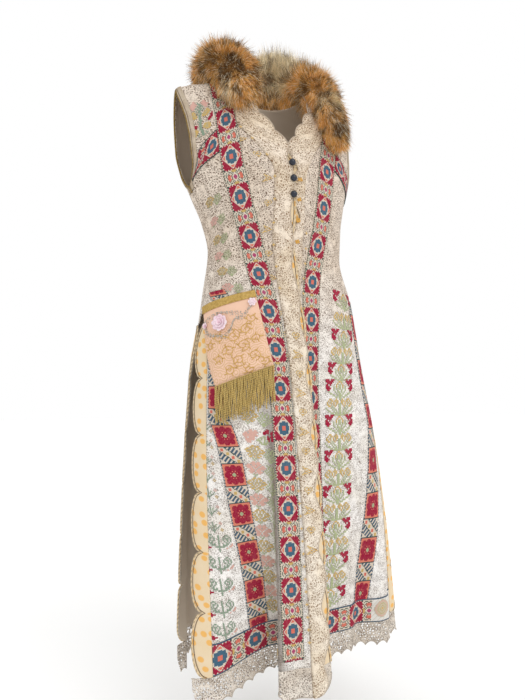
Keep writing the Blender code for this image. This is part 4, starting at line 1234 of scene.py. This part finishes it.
def makeHemLace(panel, node, finish):
    rows = np.linspace(coat["hemRow"], coat["lastRow"], 38)
    whole = float(panel.column("side", np.array([coat["hemRow"] + 1]))[0])
    start = float(panel.column("edge", np.array([coat["hemRow"]]))[0])
    count = int((whole - start) / hemLace["cell"])
    across = np.linspace(start, whole, count)
    dips = hemLace["wave"] * np.abs(np.sin(math.pi * across / hemLace["wavePitch"])) ** 0.7
    worked = np.ones(count, bool)
    if panel.name == "frontRight":
        worked = across > start + hemLace["plain"]
        dips = np.where(worked, dips, 0.0)
        corner = np.clip(1 - (across - start) / hemLace["corner"], 0, 1)
        dips = dips + hemLace["corner"] * (1 - np.sqrt(1 - corner ** 2))
    depth = (coat["lastRow"] - coat["hemRow"]) * coat["scallopPitch"] / coat["scallopSteps"]
    part = np.linspace(0, 1, len(rows))[:, None]
    down = coat["hemRow"] + (coat["lastRow"] - coat["hemRow"]) * part * (1 - dips / depth)[None, :]
    sides = across[None, :] + np.zeros_like(down)
    points, directions = panel.place(down, sides)
    points[0, :, 2] -= 0.0005
    random = np.random.default_rng(hemLace["seed"])
    pitch = hemLace["pitch"]
    seedsDown = np.arange(0.5, depth / pitch)
    seedsAcross = np.arange(0.5, (whole - start) / pitch)
    grid = np.stack(np.meshgrid(seedsAcross, seedsDown), axis=-1).reshape(-1, 2)
    grid[:, 0] += 0.5 * (np.floor(grid[:, 1]) % 2)
    seeds = (grid + random.uniform(-0.28, 0.28, grid.shape)) * pitch
    sizes = random.uniform(hemLace["small"], hemLace["large"], len(seeds))
    middleDown = (down[:-1, :-1] + down[1:, 1:]) / 2 - coat["hemRow"]
    middle = np.stack([
        (sides[:-1, :-1] + sides[1:, 1:]) / 2 - start,
        middleDown * coat["scallopPitch"] / coat["scallopSteps"],
    ], axis=-1)
    keep = np.ones(middle.shape[:2], bool)
    for seed, size in zip(seeds, sizes):
        keep &= np.linalg.norm((middle - seed) * (1, 0.85), axis=-1) > size
    reach = depth - dips[:-1]
    keep |= middle[..., 1] > reach[None, :] - hemLace["rim"] * 1.4
    keep |= middle[..., 1] < hemLace["rim"]
    keep |= ~worked[None, :-1]
    uv = np.stack([sides, -points[..., 2]], axis=-1)
    item = gridMesh("cutwork_" + node, points, finish, uv, keep=keep, flip=panel.sign < 0)
    thicken(item, hemLace["thick"])
    finished(item, [node])
    rim = tubeMesh("cord_" + node, points[-1], directions[-1], 0.0012, 6, finish)
    finished(rim, [])
    return item


# Armholes

def makeArmholes(panels, finishes):
    rows = (0.02, 7.25)
    for side in ("Right", "Left"):
        makeTrim(
            panels["front" + side], "armhole_trim_" + side.lower(), rows, "side", "sideFacing",
            finishes, kind="armhole",
        )
    for low, edge, facing in (("left", "edge", "facing"), ("right", "side", "sideFacing")):
        makeTrim(
            panels["back"], "armhole_back_" + low, rows, edge, facing, finishes, replaced=False,
            kind="armhole",
        )
    print("armholes done")


# Pocket, braid, fringe and beads

pocket = {
    "top": ((-84.0, -0.486), (-33.0, -0.458)), "bottom": ((-59.0, -0.652), (-18.0, -0.608)),
    "out": 0.0052, "across": 56, "down": 84, "puff": 0.0016, "braid": 0.016, "braidOut": 0.0078,
    "strands": 110, "strandLength": 0.082, "strandRadius": 0.0009, "seed": 11,
}


def pocketPlace(side, part):
    # A point of the right front under the pocket: across from its outer side, down from its top.
    side, part = np.broadcast_arrays(np.asarray(side, float), np.asarray(part, float))
    ends = []
    for place in (0, 1):
        first, last = (
            top[place] + (low[place] - top[place]) * part
            for top, low in zip(pocket["top"], pocket["bottom"])
        )
        ends.append(first + (last - first) * side)
    return surfacePoint("frontRight", *ends), surfaceDirection("frontRight", *ends)


def makePocket(finishes):
    side = np.linspace(0, 1, pocket["across"])[None, :]
    part = np.linspace(0, 1, pocket["down"])[:, None]
    points, directions = pocketPlace(side, part)
    edge = np.minimum(np.minimum(side, 1 - side) * 9, np.minimum(part, 1 - part) * 14)
    lift = pocket["out"] + pocket["puff"] * ease(edge)
    points = points + directions * lift[..., None]
    uv = np.stack(np.broadcast_arrays(side * 0.14, part * 0.17), axis=-1)
    cloth = gridMesh("pocket_cloth", points, finishes["brocade"], uv)
    thicken(cloth, 0.0018)
    finished(cloth, ["pocket"])
    makeScrolls(finishes["goldCord"])
    reach = pocket["braid"] / 0.166
    ribs = np.linspace(0, 1, 120)[None, :]
    part = np.linspace(0, reach, 9)[:, None]
    points, directions = pocketPlace(ribs, part)
    ridges = 0.0006 * np.sin(part / reach * math.pi * 3) ** 2
    rise = ridges + 0.0005 * np.sin(ribs * 2 * math.pi * 30) ** 2
    points = points + directions * (pocket["braidOut"] + rise)[..., None]
    uv = np.stack(np.broadcast_arrays(ribs * 0.12, part * 0.17), axis=-1)
    braid = gridMesh("braid_strip", points, finishes["braid"], uv)
    thicken(braid, 0.002)
    finished(braid, ["pocket_braid"])
    print("pocket done")


scrolls = ("side", "part", "size", "turns", "start")
scrollSpots = [
    (0.30, 0.46, 0.011, 1.6, 20), (0.52, 0.50, 0.014, 1.8, 200), (0.74, 0.46, 0.012, 1.7, 90),
    (0.86, 0.60, 0.010, 1.5, 300), (0.64, 0.64, 0.013, 1.9, 150), (0.40, 0.66, 0.012, 1.6, 40),
    (0.20, 0.72, 0.009, 1.4, 260), (0.52, 0.80, 0.013, 1.8, 330), (0.76, 0.80, 0.012, 1.7, 200),
    (0.32, 0.88, 0.010, 1.5, 100), (0.90, 0.90, 0.009, 1.4, 10), (0.62, 0.93, 0.009, 1.3, 120),
    (0.86, 0.34, 0.010, 1.5, 60), (0.12, 0.52, 0.008, 1.3, 180),
]


def makeScrolls(finish):
    # Gold couched spirals with small leaves between them.
    parts = []
    for number, entry in enumerate(scrollSpots):
        spot = dict(zip(scrolls, entry))
        swirl = np.linspace(0.12, 1, 42)
        angle = math.radians(spot["start"]) + swirl * spot["turns"] * 2 * math.pi * (-1) ** number
        side = spot["side"] + spot["size"] * swirl * np.cos(angle) / 0.115
        part = spot["part"] + spot["size"] * swirl * np.sin(angle) / 0.17
        side, part = np.clip(side, 0.03, 0.97), np.clip(part, 0.14, 0.985)
        points, directions = pocketPlace(side, part)
        path = points + directions * (pocket["out"] + pocket["puff"] + 0.0004)
        parts.append(tubeMesh("scroll", path, directions, 0.0008, 5, finish))
        for leaf in range(5):
            place = 8 + leaf * 7
            out = angle[place] + 0.6
            ends = np.linspace(0, 1, 5)
            leafSide = np.clip(side[place] + 0.055 * ends * math.cos(out), 0.03, 0.97)
            leafPart = np.clip(part[place] + 0.036 * ends * math.sin(out), 0.14, 0.985)
            points, directions = pocketPlace(leafSide, leafPart)
            path = points + directions * (pocket["out"] + pocket["puff"] + 0.0004)
            parts.append(tubeMesh("leaf", path, directions, 0.001, 5, finish))
    item = joined("pocket_scrolls", parts)
    finished(item, [])


def joined(name, parts):
    mesh = bmesh.new()
    for part in parts:
        mesh.from_mesh(part.data)
    item = bmeshObject(name, mesh, parts[0].data.materials[0])
    for part in parts:
        bpy.data.objects.remove(part)
    return item


def makeFringe(finish):
    random = np.random.default_rng(pocket["seed"])
    count = pocket["strands"]
    sides = (np.arange(count) + 0.5 + random.uniform(-0.35, 0.35, count)) / count
    tops, directions = pocketPlace(sides, np.full(count, 0.985))
    parts = []
    for index in range(count):
        length = pocket["strandLength"] * random.uniform(0.72, 0.99)
        drop = np.linspace(0, 1, 11)
        lean = 0.0022 * random.uniform(-1, 1)
        x = tops[index, 0] + lean * drop + 0.0007 * np.sin(drop * 9 + index)
        z = tops[index, 2] - length * drop
        width = readTable("rings", "right", z)
        front = readTable("rings", "front", z)
        skirt = -front * np.sqrt(np.clip(1 - (tops[index, 0] / width) ** 2, 0, 1))
        y = np.minimum(tops[index, 1], skirt)
        path = np.stack([x, y, z], axis=-1)
        out = directions[index] * (1, 1, 0)
        lift = 0.0062 + 0.0016 * (index % 3) + 0.0012 * np.sin(drop * 5 + index * 1.7)
        path = path + out * lift[:, None]
        outward = np.repeat(out[None, :], len(path), axis=0)
        parts.append(tubeMesh("strand", path, outward, pocket["strandRadius"], 6, finish))
    item = joined("bullion_fringe", parts)
    finished(item, ["pocket_fringe"])
    print("fringe done")


beads = {
    "radius": 0.0013, "swag": [(0.03, 0.24), (0.10, 0.36), (0.24, 0.43), (0.38, 0.45), (0.50, 0.40),
                               (0.60, 0.30), (0.74, 0.27), (0.86, 0.20), (0.95, 0.15)],
    "upper": [(0.03, 0.20), (0.18, 0.17), (0.34, 0.16), (0.46, 0.18), (0.58, 0.20), (0.72, 0.24)],
    "flowers": [(0.36, 0.30, 0.018, 8), (0.92, 0.15, 0.009, 6), (0.05, 0.26, 0.007, 5)],
    "flowerUp": 0.0075,
}


def makeBeads(finishes):
    # Silver-grey bead swags and the pale sequin flowers that they join.
    spheres = []
    for name, gap in (("swag", 0.0030), ("upper", 0.0036)):
        keys = np.linspace(0, 1, len(beads[name]))
        at = np.linspace(0, 1, 600)
        side = smoothCurve(keys, [place[0] for place in beads[name]], at)
        part = smoothCurve(keys, [place[1] for place in beads[name]], at)
        points, directions = pocketPlace(side, part)
        run = runAlong(points)
        stops = np.arange(0, run[-1], gap)
        for row, shift in ((0, 0.0), (1, 0.0034), (2, 0.0075)):
            for number, stop in enumerate(stops):
                index = min(int(np.searchsorted(run, stop)), len(at) - 1)
                centre = points[index] + directions[index] * (pocket["out"] + 0.0026)
                wave = 0.0012 * math.sin(number * 2.2 + row)
                sag = -shift * (0.7 + 0.5 * math.sin(number * 0.35))
                size = beads["radius"] * (0.8 + 0.3 * math.sin(number * 1.7) ** 2)
                spheres.append((centre + np.array([wave, 0, sag + wave]), size))
    mesh = bmesh.new()
    for centre, radius in spheres:
        place = Matrix.Translation(centre)
        bmesh.ops.create_icosphere(mesh, subdivisions=1, radius=radius, matrix=place)
    finished(bmeshObject("bead_swag", mesh, finishes["silver"].material), [])
    mesh = bmesh.new()
    for side, part, size, petals in beads["flowers"]:
        centre, out = pocketPlace(np.array([side]), np.array([part]))
        centre, out = Vector(centre[0]), Vector(out[0])
        turn = out.to_track_quat("Z", "Y").to_matrix()
        for layer in range(3):
            reach = size * (1 - 0.27 * layer)
            for petal in range(petals):
                angle = 2 * math.pi * (petal + 0.4 * layer) / petals
                raised = Matrix.Rotation(-0.35 - 0.25 * layer, 3, "Y")
                tilt = Matrix.Rotation(angle, 3, "Z") @ raised
                made = bmesh.ops.create_uvsphere(mesh, u_segments=12, v_segments=6, radius=1.0)
                for vert in made["verts"]:
                    x, y, z = vert.co
                    spot = Vector((x * reach * 0.55 + reach * 0.5, y * reach * 0.4, z * 0.0009))
                    lifted = turn @ (tilt @ spot)
                    vert.co = centre + lifted + out * (beads["flowerUp"] + 0.0016 * layer)
    flowers = bmeshObject("sequin_flowers", mesh, finishes["sequin"].material)
    finished(flowers, [])
    print("beads", len(spheres))


# Buttons

button = {
    "radius": 0.0071, "flutes": 8, "flute": 0.03, "height": 0.78, "facing": (-0.1, -1, 0),
    "loop": (0.0105, 0.0068), "loopAside": 0.006, "loopBack": 0.002, "thread": 0.0009,
}


def makeButtons(finish, thread):
    radius = button["radius"]
    wide, high = button["loop"]
    for number in (1, 2, 3):
        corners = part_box(f"button_{number}")
        centre = (Vector(corners[0]) + Vector(corners[1])) / 2
        out = Vector(button["facing"]).normalized()
        turn = out.to_track_quat("Z", "Y").to_matrix()
        mesh = bmesh.new()
        made = bmesh.ops.create_uvsphere(mesh, u_segments=28, v_segments=16, radius=radius)
        for vert in made["verts"]:
            x, y, z = vert.co
            ripple = button["flute"] * math.cos(button["flutes"] * math.atan2(y, x))
            flute = 1 + ripple * (x ** 2 + y ** 2) / radius ** 2
            vert.co = centre + turn @ Vector((x * flute, y * flute, z * button["height"]))
        dome = bmeshObject(f"dome_{number}", mesh, finish.material)
        finished(dome, [f"button_{number}"])
        swing = np.linspace(0.3, 2 * math.pi - 0.3, 26)
        loop = np.stack([
            centre.x + button["loopAside"] + wide * np.cos(swing),
            np.full(len(swing), centre.y + button["loopBack"]), centre.z + high * np.sin(swing),
        ], axis=-1)
        outward = np.repeat(np.array([[0.0, -1.0, 0.0]]), len(swing), axis=0)
        item = tubeMesh(f"loop_{number}", loop, outward, button["thread"], 6, thread)
        finished(item, [])


# Fur

fur = {
    "table": [
        (0.0, -0.112, -0.098, -0.078, 0.018, 0.014, 62.0),
        (0.5, -0.114, -0.090, -0.058, 0.050, 0.030, 58.0),
        (1.0, -0.116, -0.070, -0.022, 0.062, 0.038, 46.0),
        (2.0, -0.122, -0.018, 0.022, 0.066, 0.046, 22.0),
        (3.0, -0.108, 0.050, 0.034, 0.058, 0.044, 34.0),
        (4.0, -0.060, 0.092, 0.052, 0.056, 0.038, 56.0),
        (5.0, 0.000, 0.104, 0.070, 0.056, 0.036, 66.0),
        (6.0, 0.060, 0.092, 0.086, 0.058, 0.038, 56.0),
        (7.0, 0.102, 0.046, 0.060, 0.060, 0.042, 36.0),
        (8.0, 0.108, -0.012, 0.030, 0.064, 0.044, 30.0),
        (9.0, 0.102, -0.066, -0.026, 0.064, 0.040, 50.0),
        (9.7, 0.108, -0.096, -0.086, 0.058, 0.034, 66.0),
        (10.2, 0.116, -0.108, -0.122, 0.018, 0.014, 72.0),
    ],
    "stations": 120, "sides": 48, "inset": 0.56, "outward": 0.6, "droop": -0.30,
    "rise": (6.2, 1.4, 1.9), "ends": 0.9, "blade": (0.0, 0.5, 1.0), "reach": (6.3, 1.1, 0.54, 0.82),
}
furInputs = ("Density", "Length", "Width", "Spread", "Lift", "Seed")
furLayers = [
    ("fur_under", 290000, 0.022, 0.0017, 0.5, 0.8, 3),
    ("fur_main", 380000, 0.030, 0.0014, 0.42, 0.7, 7),
    ("fur_guard", 110000, 0.043, 0.0011, 0.4, 0.7, 13),
]


def furBase(finish):
    # The pelt under the fur, with the way that the hair lies kept on its points.
    table = np.array(fur["table"])
    stations = np.linspace(0, table[-1, 0], fur["stations"])
    values = [smoothCurve(table[:, 0], table[:, place], stations) for place in range(1, 7)]
    middle = np.stack(values[:3], axis=-1)
    path = unit(np.gradient(middle, axis=0))
    away = unit(middle * (1, 1, 0))
    lean = np.radians(values[5])[:, None]
    normal = away * np.sin(lean) + np.array([0, 0, 1]) * np.cos(lean)
    normal = unit(normal - path * np.sum(normal * path, axis=1, keepdims=True))
    across = np.cross(path, normal)
    turn = np.linspace(0, 2 * math.pi, fur["sides"] + 1)[None, :, None]
    half = (values[3] * fur["inset"])[:, None, None]
    thick = (values[4] * fur["inset"])[:, None, None]
    cosine, sine = np.cos(turn), np.sin(turn)
    points = middle[:, None] + across[:, None] * half * cosine + normal[:, None] * thick * sine
    radial = across[:, None] * cosine + normal[:, None] * sine
    ends = np.clip((stations - 5.0) / 5.0, -1, 1)[:, None, None]
    flow = radial * fur["outward"] + path[:, None] * np.sign(ends) * np.abs(ends) ** 3 * fur["ends"]
    middleStation, width, height = fur["rise"]
    rise = height * np.exp(-((stations - middleStation) / width) ** 2)[:, None]
    # hair rises from the upper side only; below, it hangs down over the cloth
    flow[..., 2] += rise * np.clip(0.5 + radial[..., 2], 0, 1)
    flow[..., 2] += fur["droop"] * (1.5 - radial[..., 2])
    item = gridMesh("fur_pelt", points, finish)
    closeMesh(item.data, 0.00005, 0)
    spots = np.array([vert.co[:] for vert in item.data.vertices])
    source = points.reshape(-1, 3)
    flows = flow.reshape(-1, 3)
    index = np.array([int(np.argmin(np.sum((source - spot) ** 2, axis=1))) for spot in spots])
    addAttribute(item.data, "flow", "FLOAT_VECTOR", "POINT", flows[index])
    middleStation, width, more, least = fur["reach"]
    reach = least + more * np.exp(-((stations - middleStation) / width) ** 2)[:, None]
    reach = np.broadcast_to(reach, points.shape[:2]).reshape(-1)
    addAttribute(item.data, "reach", "FLOAT", "POINT", reach[index])
    return item


furClumps = {"scale": 58.0, "bend": 2.8, "short": 0.62, "long": 1.12}


class NodeMaker:
    def __init__(self, name, inputs):
        self.tree = bpy.data.node_groups.new(name, "GeometryNodeTree")
        face = self.tree.interface
        face.new_socket("Geometry", in_out="INPUT", socket_type="NodeSocketGeometry")
        self.sockets = {}
        for label, kind in inputs:
            kind = "NodeSocket" + kind
            self.sockets[label] = face.new_socket(label, in_out="INPUT", socket_type=kind)
        face.new_socket("Geometry", in_out="OUTPUT", socket_type="NodeSocketGeometry")
        self.start = self.tree.nodes.new("NodeGroupInput")
        self.end = self.tree.nodes.new("NodeGroupOutput")

    def add(self, kind, settings=None, values=None):
        node = self.tree.nodes.new(kind)
        for key, value in (settings or {}).items():
            setattr(node, key, value)
        for key, value in (values or {}).items():
            if isinstance(value, bpy.types.NodeSocket):
                self.tree.links.new(value, node.inputs[key])
            else:
                node.inputs[key].default_value = value
        return node

    def vector(self, operation, values):
        return self.add("ShaderNodeVectorMath", {"operation": operation}, values).outputs[0]


def furTree(blade):
    kinds = {"Seed": "Int", "Material": "Material"}
    labels = (*furInputs, "Material")
    maker = NodeMaker("furBlades", [(label, kinds.get(label, "Float")) for label in labels])
    given = maker.start.outputs
    vectors, numbers = {"data_type": "FLOAT_VECTOR"}, {"data_type": "FLOAT"}
    spread = maker.add("GeometryNodeDistributePointsOnFaces", {"distribute_method": "RANDOM"}, {
        "Mesh": given["Geometry"], "Density": given["Density"], "Seed": given["Seed"],
    })
    flow = maker.add("GeometryNodeInputNamedAttribute", vectors, {"Name": "flow"})
    chance = maker.add("FunctionNodeRandomValue", vectors,
                       {0: (-1.0, -1.0, -1.0), 1: (1.0, 1.0, 1.0), "Seed": given["Seed"]})
    place = maker.add("GeometryNodeInputPosition")
    clump = maker.add("ShaderNodeTexNoise", {"noise_dimensions": "3D"},
                      {"Vector": place.outputs[0], "Scale": furClumps["scale"], "Detail": 1.0})
    centred = maker.vector("SUBTRACT", {0: clump.outputs["Color"], 1: (0.5, 0.5, 0.5)})
    clumped = maker.vector("SCALE", {0: centred, "Scale": furClumps["bend"]})
    loose = maker.vector("SCALE", {0: chance.outputs[0], "Scale": given["Spread"]})
    total = maker.vector("SCALE", {0: spread.outputs["Normal"], "Scale": given["Lift"]})
    for other in (flow.outputs["Attribute"], clumped, loose):
        total = maker.vector("ADD", {0: total, 1: other})
    upright = maker.add("FunctionNodeAlignRotationToVector", {"axis": "Z"}, {"Vector": total})
    turned = maker.add("FunctionNodeAlignRotationToVector", {"axis": "X", "pivot_axis": "Z"},
                       {"Rotation": upright.outputs[0], "Vector": flow.outputs["Attribute"]})
    size = maker.add("FunctionNodeRandomValue", numbers,
                     {2: furClumps["short"], 3: furClumps["long"], "Seed": given["Seed"]})
    reach = maker.add("GeometryNodeInputNamedAttribute", numbers, {"Name": "reach"})
    nominal = maker.add("ShaderNodeMath", {"operation": "MULTIPLY"},
                        {0: size.outputs[1], 1: given["Length"]})
    length = maker.add("ShaderNodeMath", {"operation": "MULTIPLY"},
                       {0: nominal.outputs[0], 1: reach.outputs["Attribute"]})
    scale = maker.add("ShaderNodeCombineXYZ", {},
                      {0: length.outputs[0], 1: given["Width"], 2: length.outputs[0]})
    shape = maker.add("GeometryNodeObjectInfo", {}, {"Object": blade})
    copies = maker.add("GeometryNodeInstanceOnPoints", {}, {
        "Points": spread.outputs["Points"], "Instance": shape.outputs["Geometry"],
        "Rotation": turned.outputs[0], "Scale": scale.outputs[0],
    })
    tint = maker.add("FunctionNodeRandomValue", numbers, {2: 0.0, 3: 1.0, "Seed": 4})
    kept = maker.add("GeometryNodeStoreNamedAttribute", {**numbers, "domain": "INSTANCE"},
                     {"Geometry": copies.outputs[0], "Name": "tint", "Value": tint.outputs[1]})
    real = maker.add("GeometryNodeRealizeInstances", {}, {"Geometry": kept.outputs[0]})
    dressed = maker.add("GeometryNodeSetMaterial", {},
                        {"Geometry": real.outputs[0], "Material": given["Material"]})
    maker.tree.links.new(dressed.outputs[0], maker.end.inputs["Geometry"])
    return maker


def makeBlade():
    # A unit hair: tapered, bending over towards X, with its height kept as an attribute.
    levels = fur["blade"]
    widths = [1.0, 0.75]
    verts, faces = [], []
    for level, width in zip(levels[:-1], widths):
        verts += [(0.42 * level ** 2, -width / 2, level), (0.42 * level ** 2, width / 2, level)]
    verts.append((0.42, 0, 1.0))
    for step in range(len(levels) - 2):
        faces.append((2 * step, 2 * step + 1, 2 * step + 3, 2 * step + 2))
    faces.append((2 * len(levels) - 4, 2 * len(levels) - 3, 2 * len(levels) - 2))
    data = bpy.data.meshes.new("blade")
    data.from_pydata(verts, [], faces)
    addAttribute(data, "along", "FLOAT", "POINT", [vert[2] for vert in verts])
    return makeObject("blade", data)


def makeFur(finishes):
    pelt = furBase(finishes["pelt"])
    blade = makeBlade()
    maker = furTree(blade)
    for name, *values in furLayers:
        item = makeObject(name, pelt.data.copy())
        modifier = item.modifiers.new("blades", "NODES")
        modifier.node_group = maker.tree
        for label, value in zip(furInputs, values):
            modifier[maker.sockets[label].identifier] = value if label == "Seed" else float(value)
        modifier[maker.sockets["Material"].identifier] = finishes["fur"].material
        plainMesh(item)
        finished(item, [])
        print(name, len(item.data.polygons))
    bpy.data.objects.remove(blade)
    finished(pelt, ["fur_collar"])


furPatches = {
    "grey": (
        ((-0.165, -0.10, -0.085), 0.030), ((0.06, 0.06, 0.10), 0.065),
        ((0.10, -0.11, -0.05), 0.028),
    ),
    "dark": (
        ((-0.140, -0.09, -0.02), 0.020), ((-0.21, -0.04, -0.02), 0.045),
        ((0.19, 0.03, 0.07), 0.055), ((0.115, -0.13, -0.10), 0.018),
    ),
}


def makeFurFinish():
    finish = Finish("furHair")
    along = finish.attribute("along")
    tint = finish.attribute("tint")
    place = finish.where("Object")
    patch = finish.noise(place, 16.0)
    shares = {}
    for name, entries in furPatches.items():
        shares[name] = patch * 0.0
        for spot, size in entries:
            apart = finish.out("VectorMath", 1, {"operation": "DISTANCE"}, {0: place, 1: spot})
            shares[name] = shares[name] + apart.below(size, 0.05)
    warm = (patch * 0.7 + (tint - 0.5) * 0.35 + 0.5 - shares["grey"] * 0.7).above(0.5, 0.2)
    clump = finish.noise(place, 40.0, 4.0)
    middle = finish.mix(warm, "#D4C4A2", "#DBA04A")
    middle = finish.mix((tint * 7.3).part() * 0.35, middle, "#F6E0AC")
    brown = clump.above(0.52, 0.1) * 0.8 + shares["dark"] * 0.7
    middle = finish.mix(brown.math("MINIMUM", 0.92), middle, "#4C3018")
    shaded = finish.mix(along.above(0.3, 0.5), "#A87E50", middle)
    dark = ((tint * 3.7).part() + shares["dark"] * 0.5).above(0.66, 0.2) * along.above(0.7, 0.3)
    shaded = finish.mix(dark * 0.85, shaded, "#33241A")
    light = (tint * 5.1).part().above(0.78, 0.1) * along.above(0.5, 0.3)
    shaded = finish.mix(light * 0.7, shaded, "#FFF2D6")
    finish.put("Base Color", shaded)
    # painted light: the hair glows a little in its own colour, standing in for the light that
    # passes through fine hair and lifting its self-shadow
    finish.put("Emission Color", shaded)
    finish.put("Emission Strength", 0.16)
    finish.put("Roughness", 0.6)
    return finish


def makePlainFinish(name, first, second, scale, rough, metallic=0.0, coatWeight=0.0):
    # A finish of two mottled tones with a fine grain.
    finish = Finish(name)
    place = finish.where("Object")
    cloudy = finish.noise(place, scale, 4.0)
    fine = finish.noise(place, scale * 9)
    finish.put("Base Color", finish.mix((cloudy * 0.6 + fine * 0.4).above(0.5, 0.3), first, second))
    finish.put("Roughness", rough + fine * 0.12)
    finish.put("Metallic", metallic)
    finish.put("Coat Weight", coatWeight)
    finish.bump(fine + cloudy, 0.0006, 0.6)
    return finish


def makeBrocadeFinish():
    finish = Finish("peachBrocade")
    place = finish.where("UV")
    twill = finish.twill(place, 320.0)
    ground = finish.noise(place, 24.0, 4.0)
    ring = finish.cells(place, 52.0)
    vine = (ring * 26.0 + ground * 5.0).math("SINE").above(0.45, 0.5)
    down = finish.split(place)[1]
    vine = vine * down.above(0.055, 0.03)
    peach = finish.mix(ground, "#F6D0B8", "#E9BFA4")
    shaded = finish.mix(vine * 0.5, peach, "#D2AE68")
    finish.put("Base Color", finish.mix(twill * 0.14, shaded, "#B98A66"))
    finish.put("Roughness", 0.55 - vine * 0.15)
    finish.put("Metallic", vine * 0.3)
    finish.bump(vine * 0.8 + twill * 0.2, 0.0008, 0.7)
    return finish


# Run

bpy.context.scene.view_settings.view_transform = "Standard"
makeCamera()
makeStage()
panels = {name: Panel(name) for name in ("frontRight", "frontLeft", "back")}
laceTones = {
    "laceGround": (("#F3E5D5", "#E6D6C4"), ("#FBF8F4", "#F3EEE6"), "#66503F", 0.55),
    "openingLace": (("#F4E6D4", "#E9D8C0"), ("#F6ECDC", "#EFE1CB"), "#86694C", 0.9),
    "hemLaceThread": (("#EFE6DA", "#DDD1C2"), ("#EFE6DA", "#DDD1C2"), "#5E4C3E", 0.8),
}
lace, trimLace, hemCloth = (makeLaceFinish(name, *tones) for name, tones in laceTones.items())
lining = makeLiningFinish()
stitches = makeStitchFinish()
finishes = {
    "facing": makeFacingFinish(),
    "pipe": makeCordFinish("creamPiping", "#EFE0C4", "#CFAE78", 1.0),
    "armhole": makePlainFinish("armholeFacing", "#CDBFAC", "#A8967E", 60.0, 0.8),
    "binding": makeCordFinish("armholeBinding", "#A98C4A", "#7A6238", 1.2),
    "line": makeCordFinish("darkCord", "#6E6058", "#9A8468", 2.0),
    "brocade": makeBrocadeFinish(),
    "goldCord": makePlainFinish("goldCord", "#E2BE78", "#C89C52", 300.0, 0.5, 0.1),
    "braid": makePlainFinish("goldBraid", "#D8B66C", "#A48444", 260.0, 0.5, 0.1),
    "bullion": makeCordFinish("bullion", "#F2D88E", "#BC9850", 2.4),
    "silver": makePlainFinish("silverBeads", "#E6E1D8", "#8E867C", 300.0, 0.35, 0.1),
    "sequin": makePlainFinish("sequins", "#F8F2F4", "#EFBFD0", 45.0, 0.35, 0.0, coatWeight=0.4),
    "button": makePlainFinish("buttonDome", "#141A26", "#202838", 180.0, 0.18, coatWeight=0.7),
    "fur": makeFurFinish(),
    "pelt": makePlainFinish("furPelt", "#4A3624", "#6A5238", 60.0, 0.9),
}
for key, node in (("frontRight", "front_right"), ("frontLeft", "front_left"), ("back", "back")):
    makePanel(panels[key], lace, lining, node)
    makeHemLace(panels[key], "lace_hem_" + (panels[key].side.lower() or "back"), hemCloth)
makeBands(panels, stitches)
makeTrims(panels, finishes)
makeArmholes(panels, finishes)
for key in ("frontRight", "frontLeft"):
    makeOverlay(panels[key], trimLace)
for key, entries in spots.items():
    stitchMotifs(panels[key], entries, stitches)
makePocket(finishes)
makeFringe(finishes["bullion"])
makeBeads(finishes)
makeButtons(finishes["button"], finishes["pipe"])
makeFur(finishes)
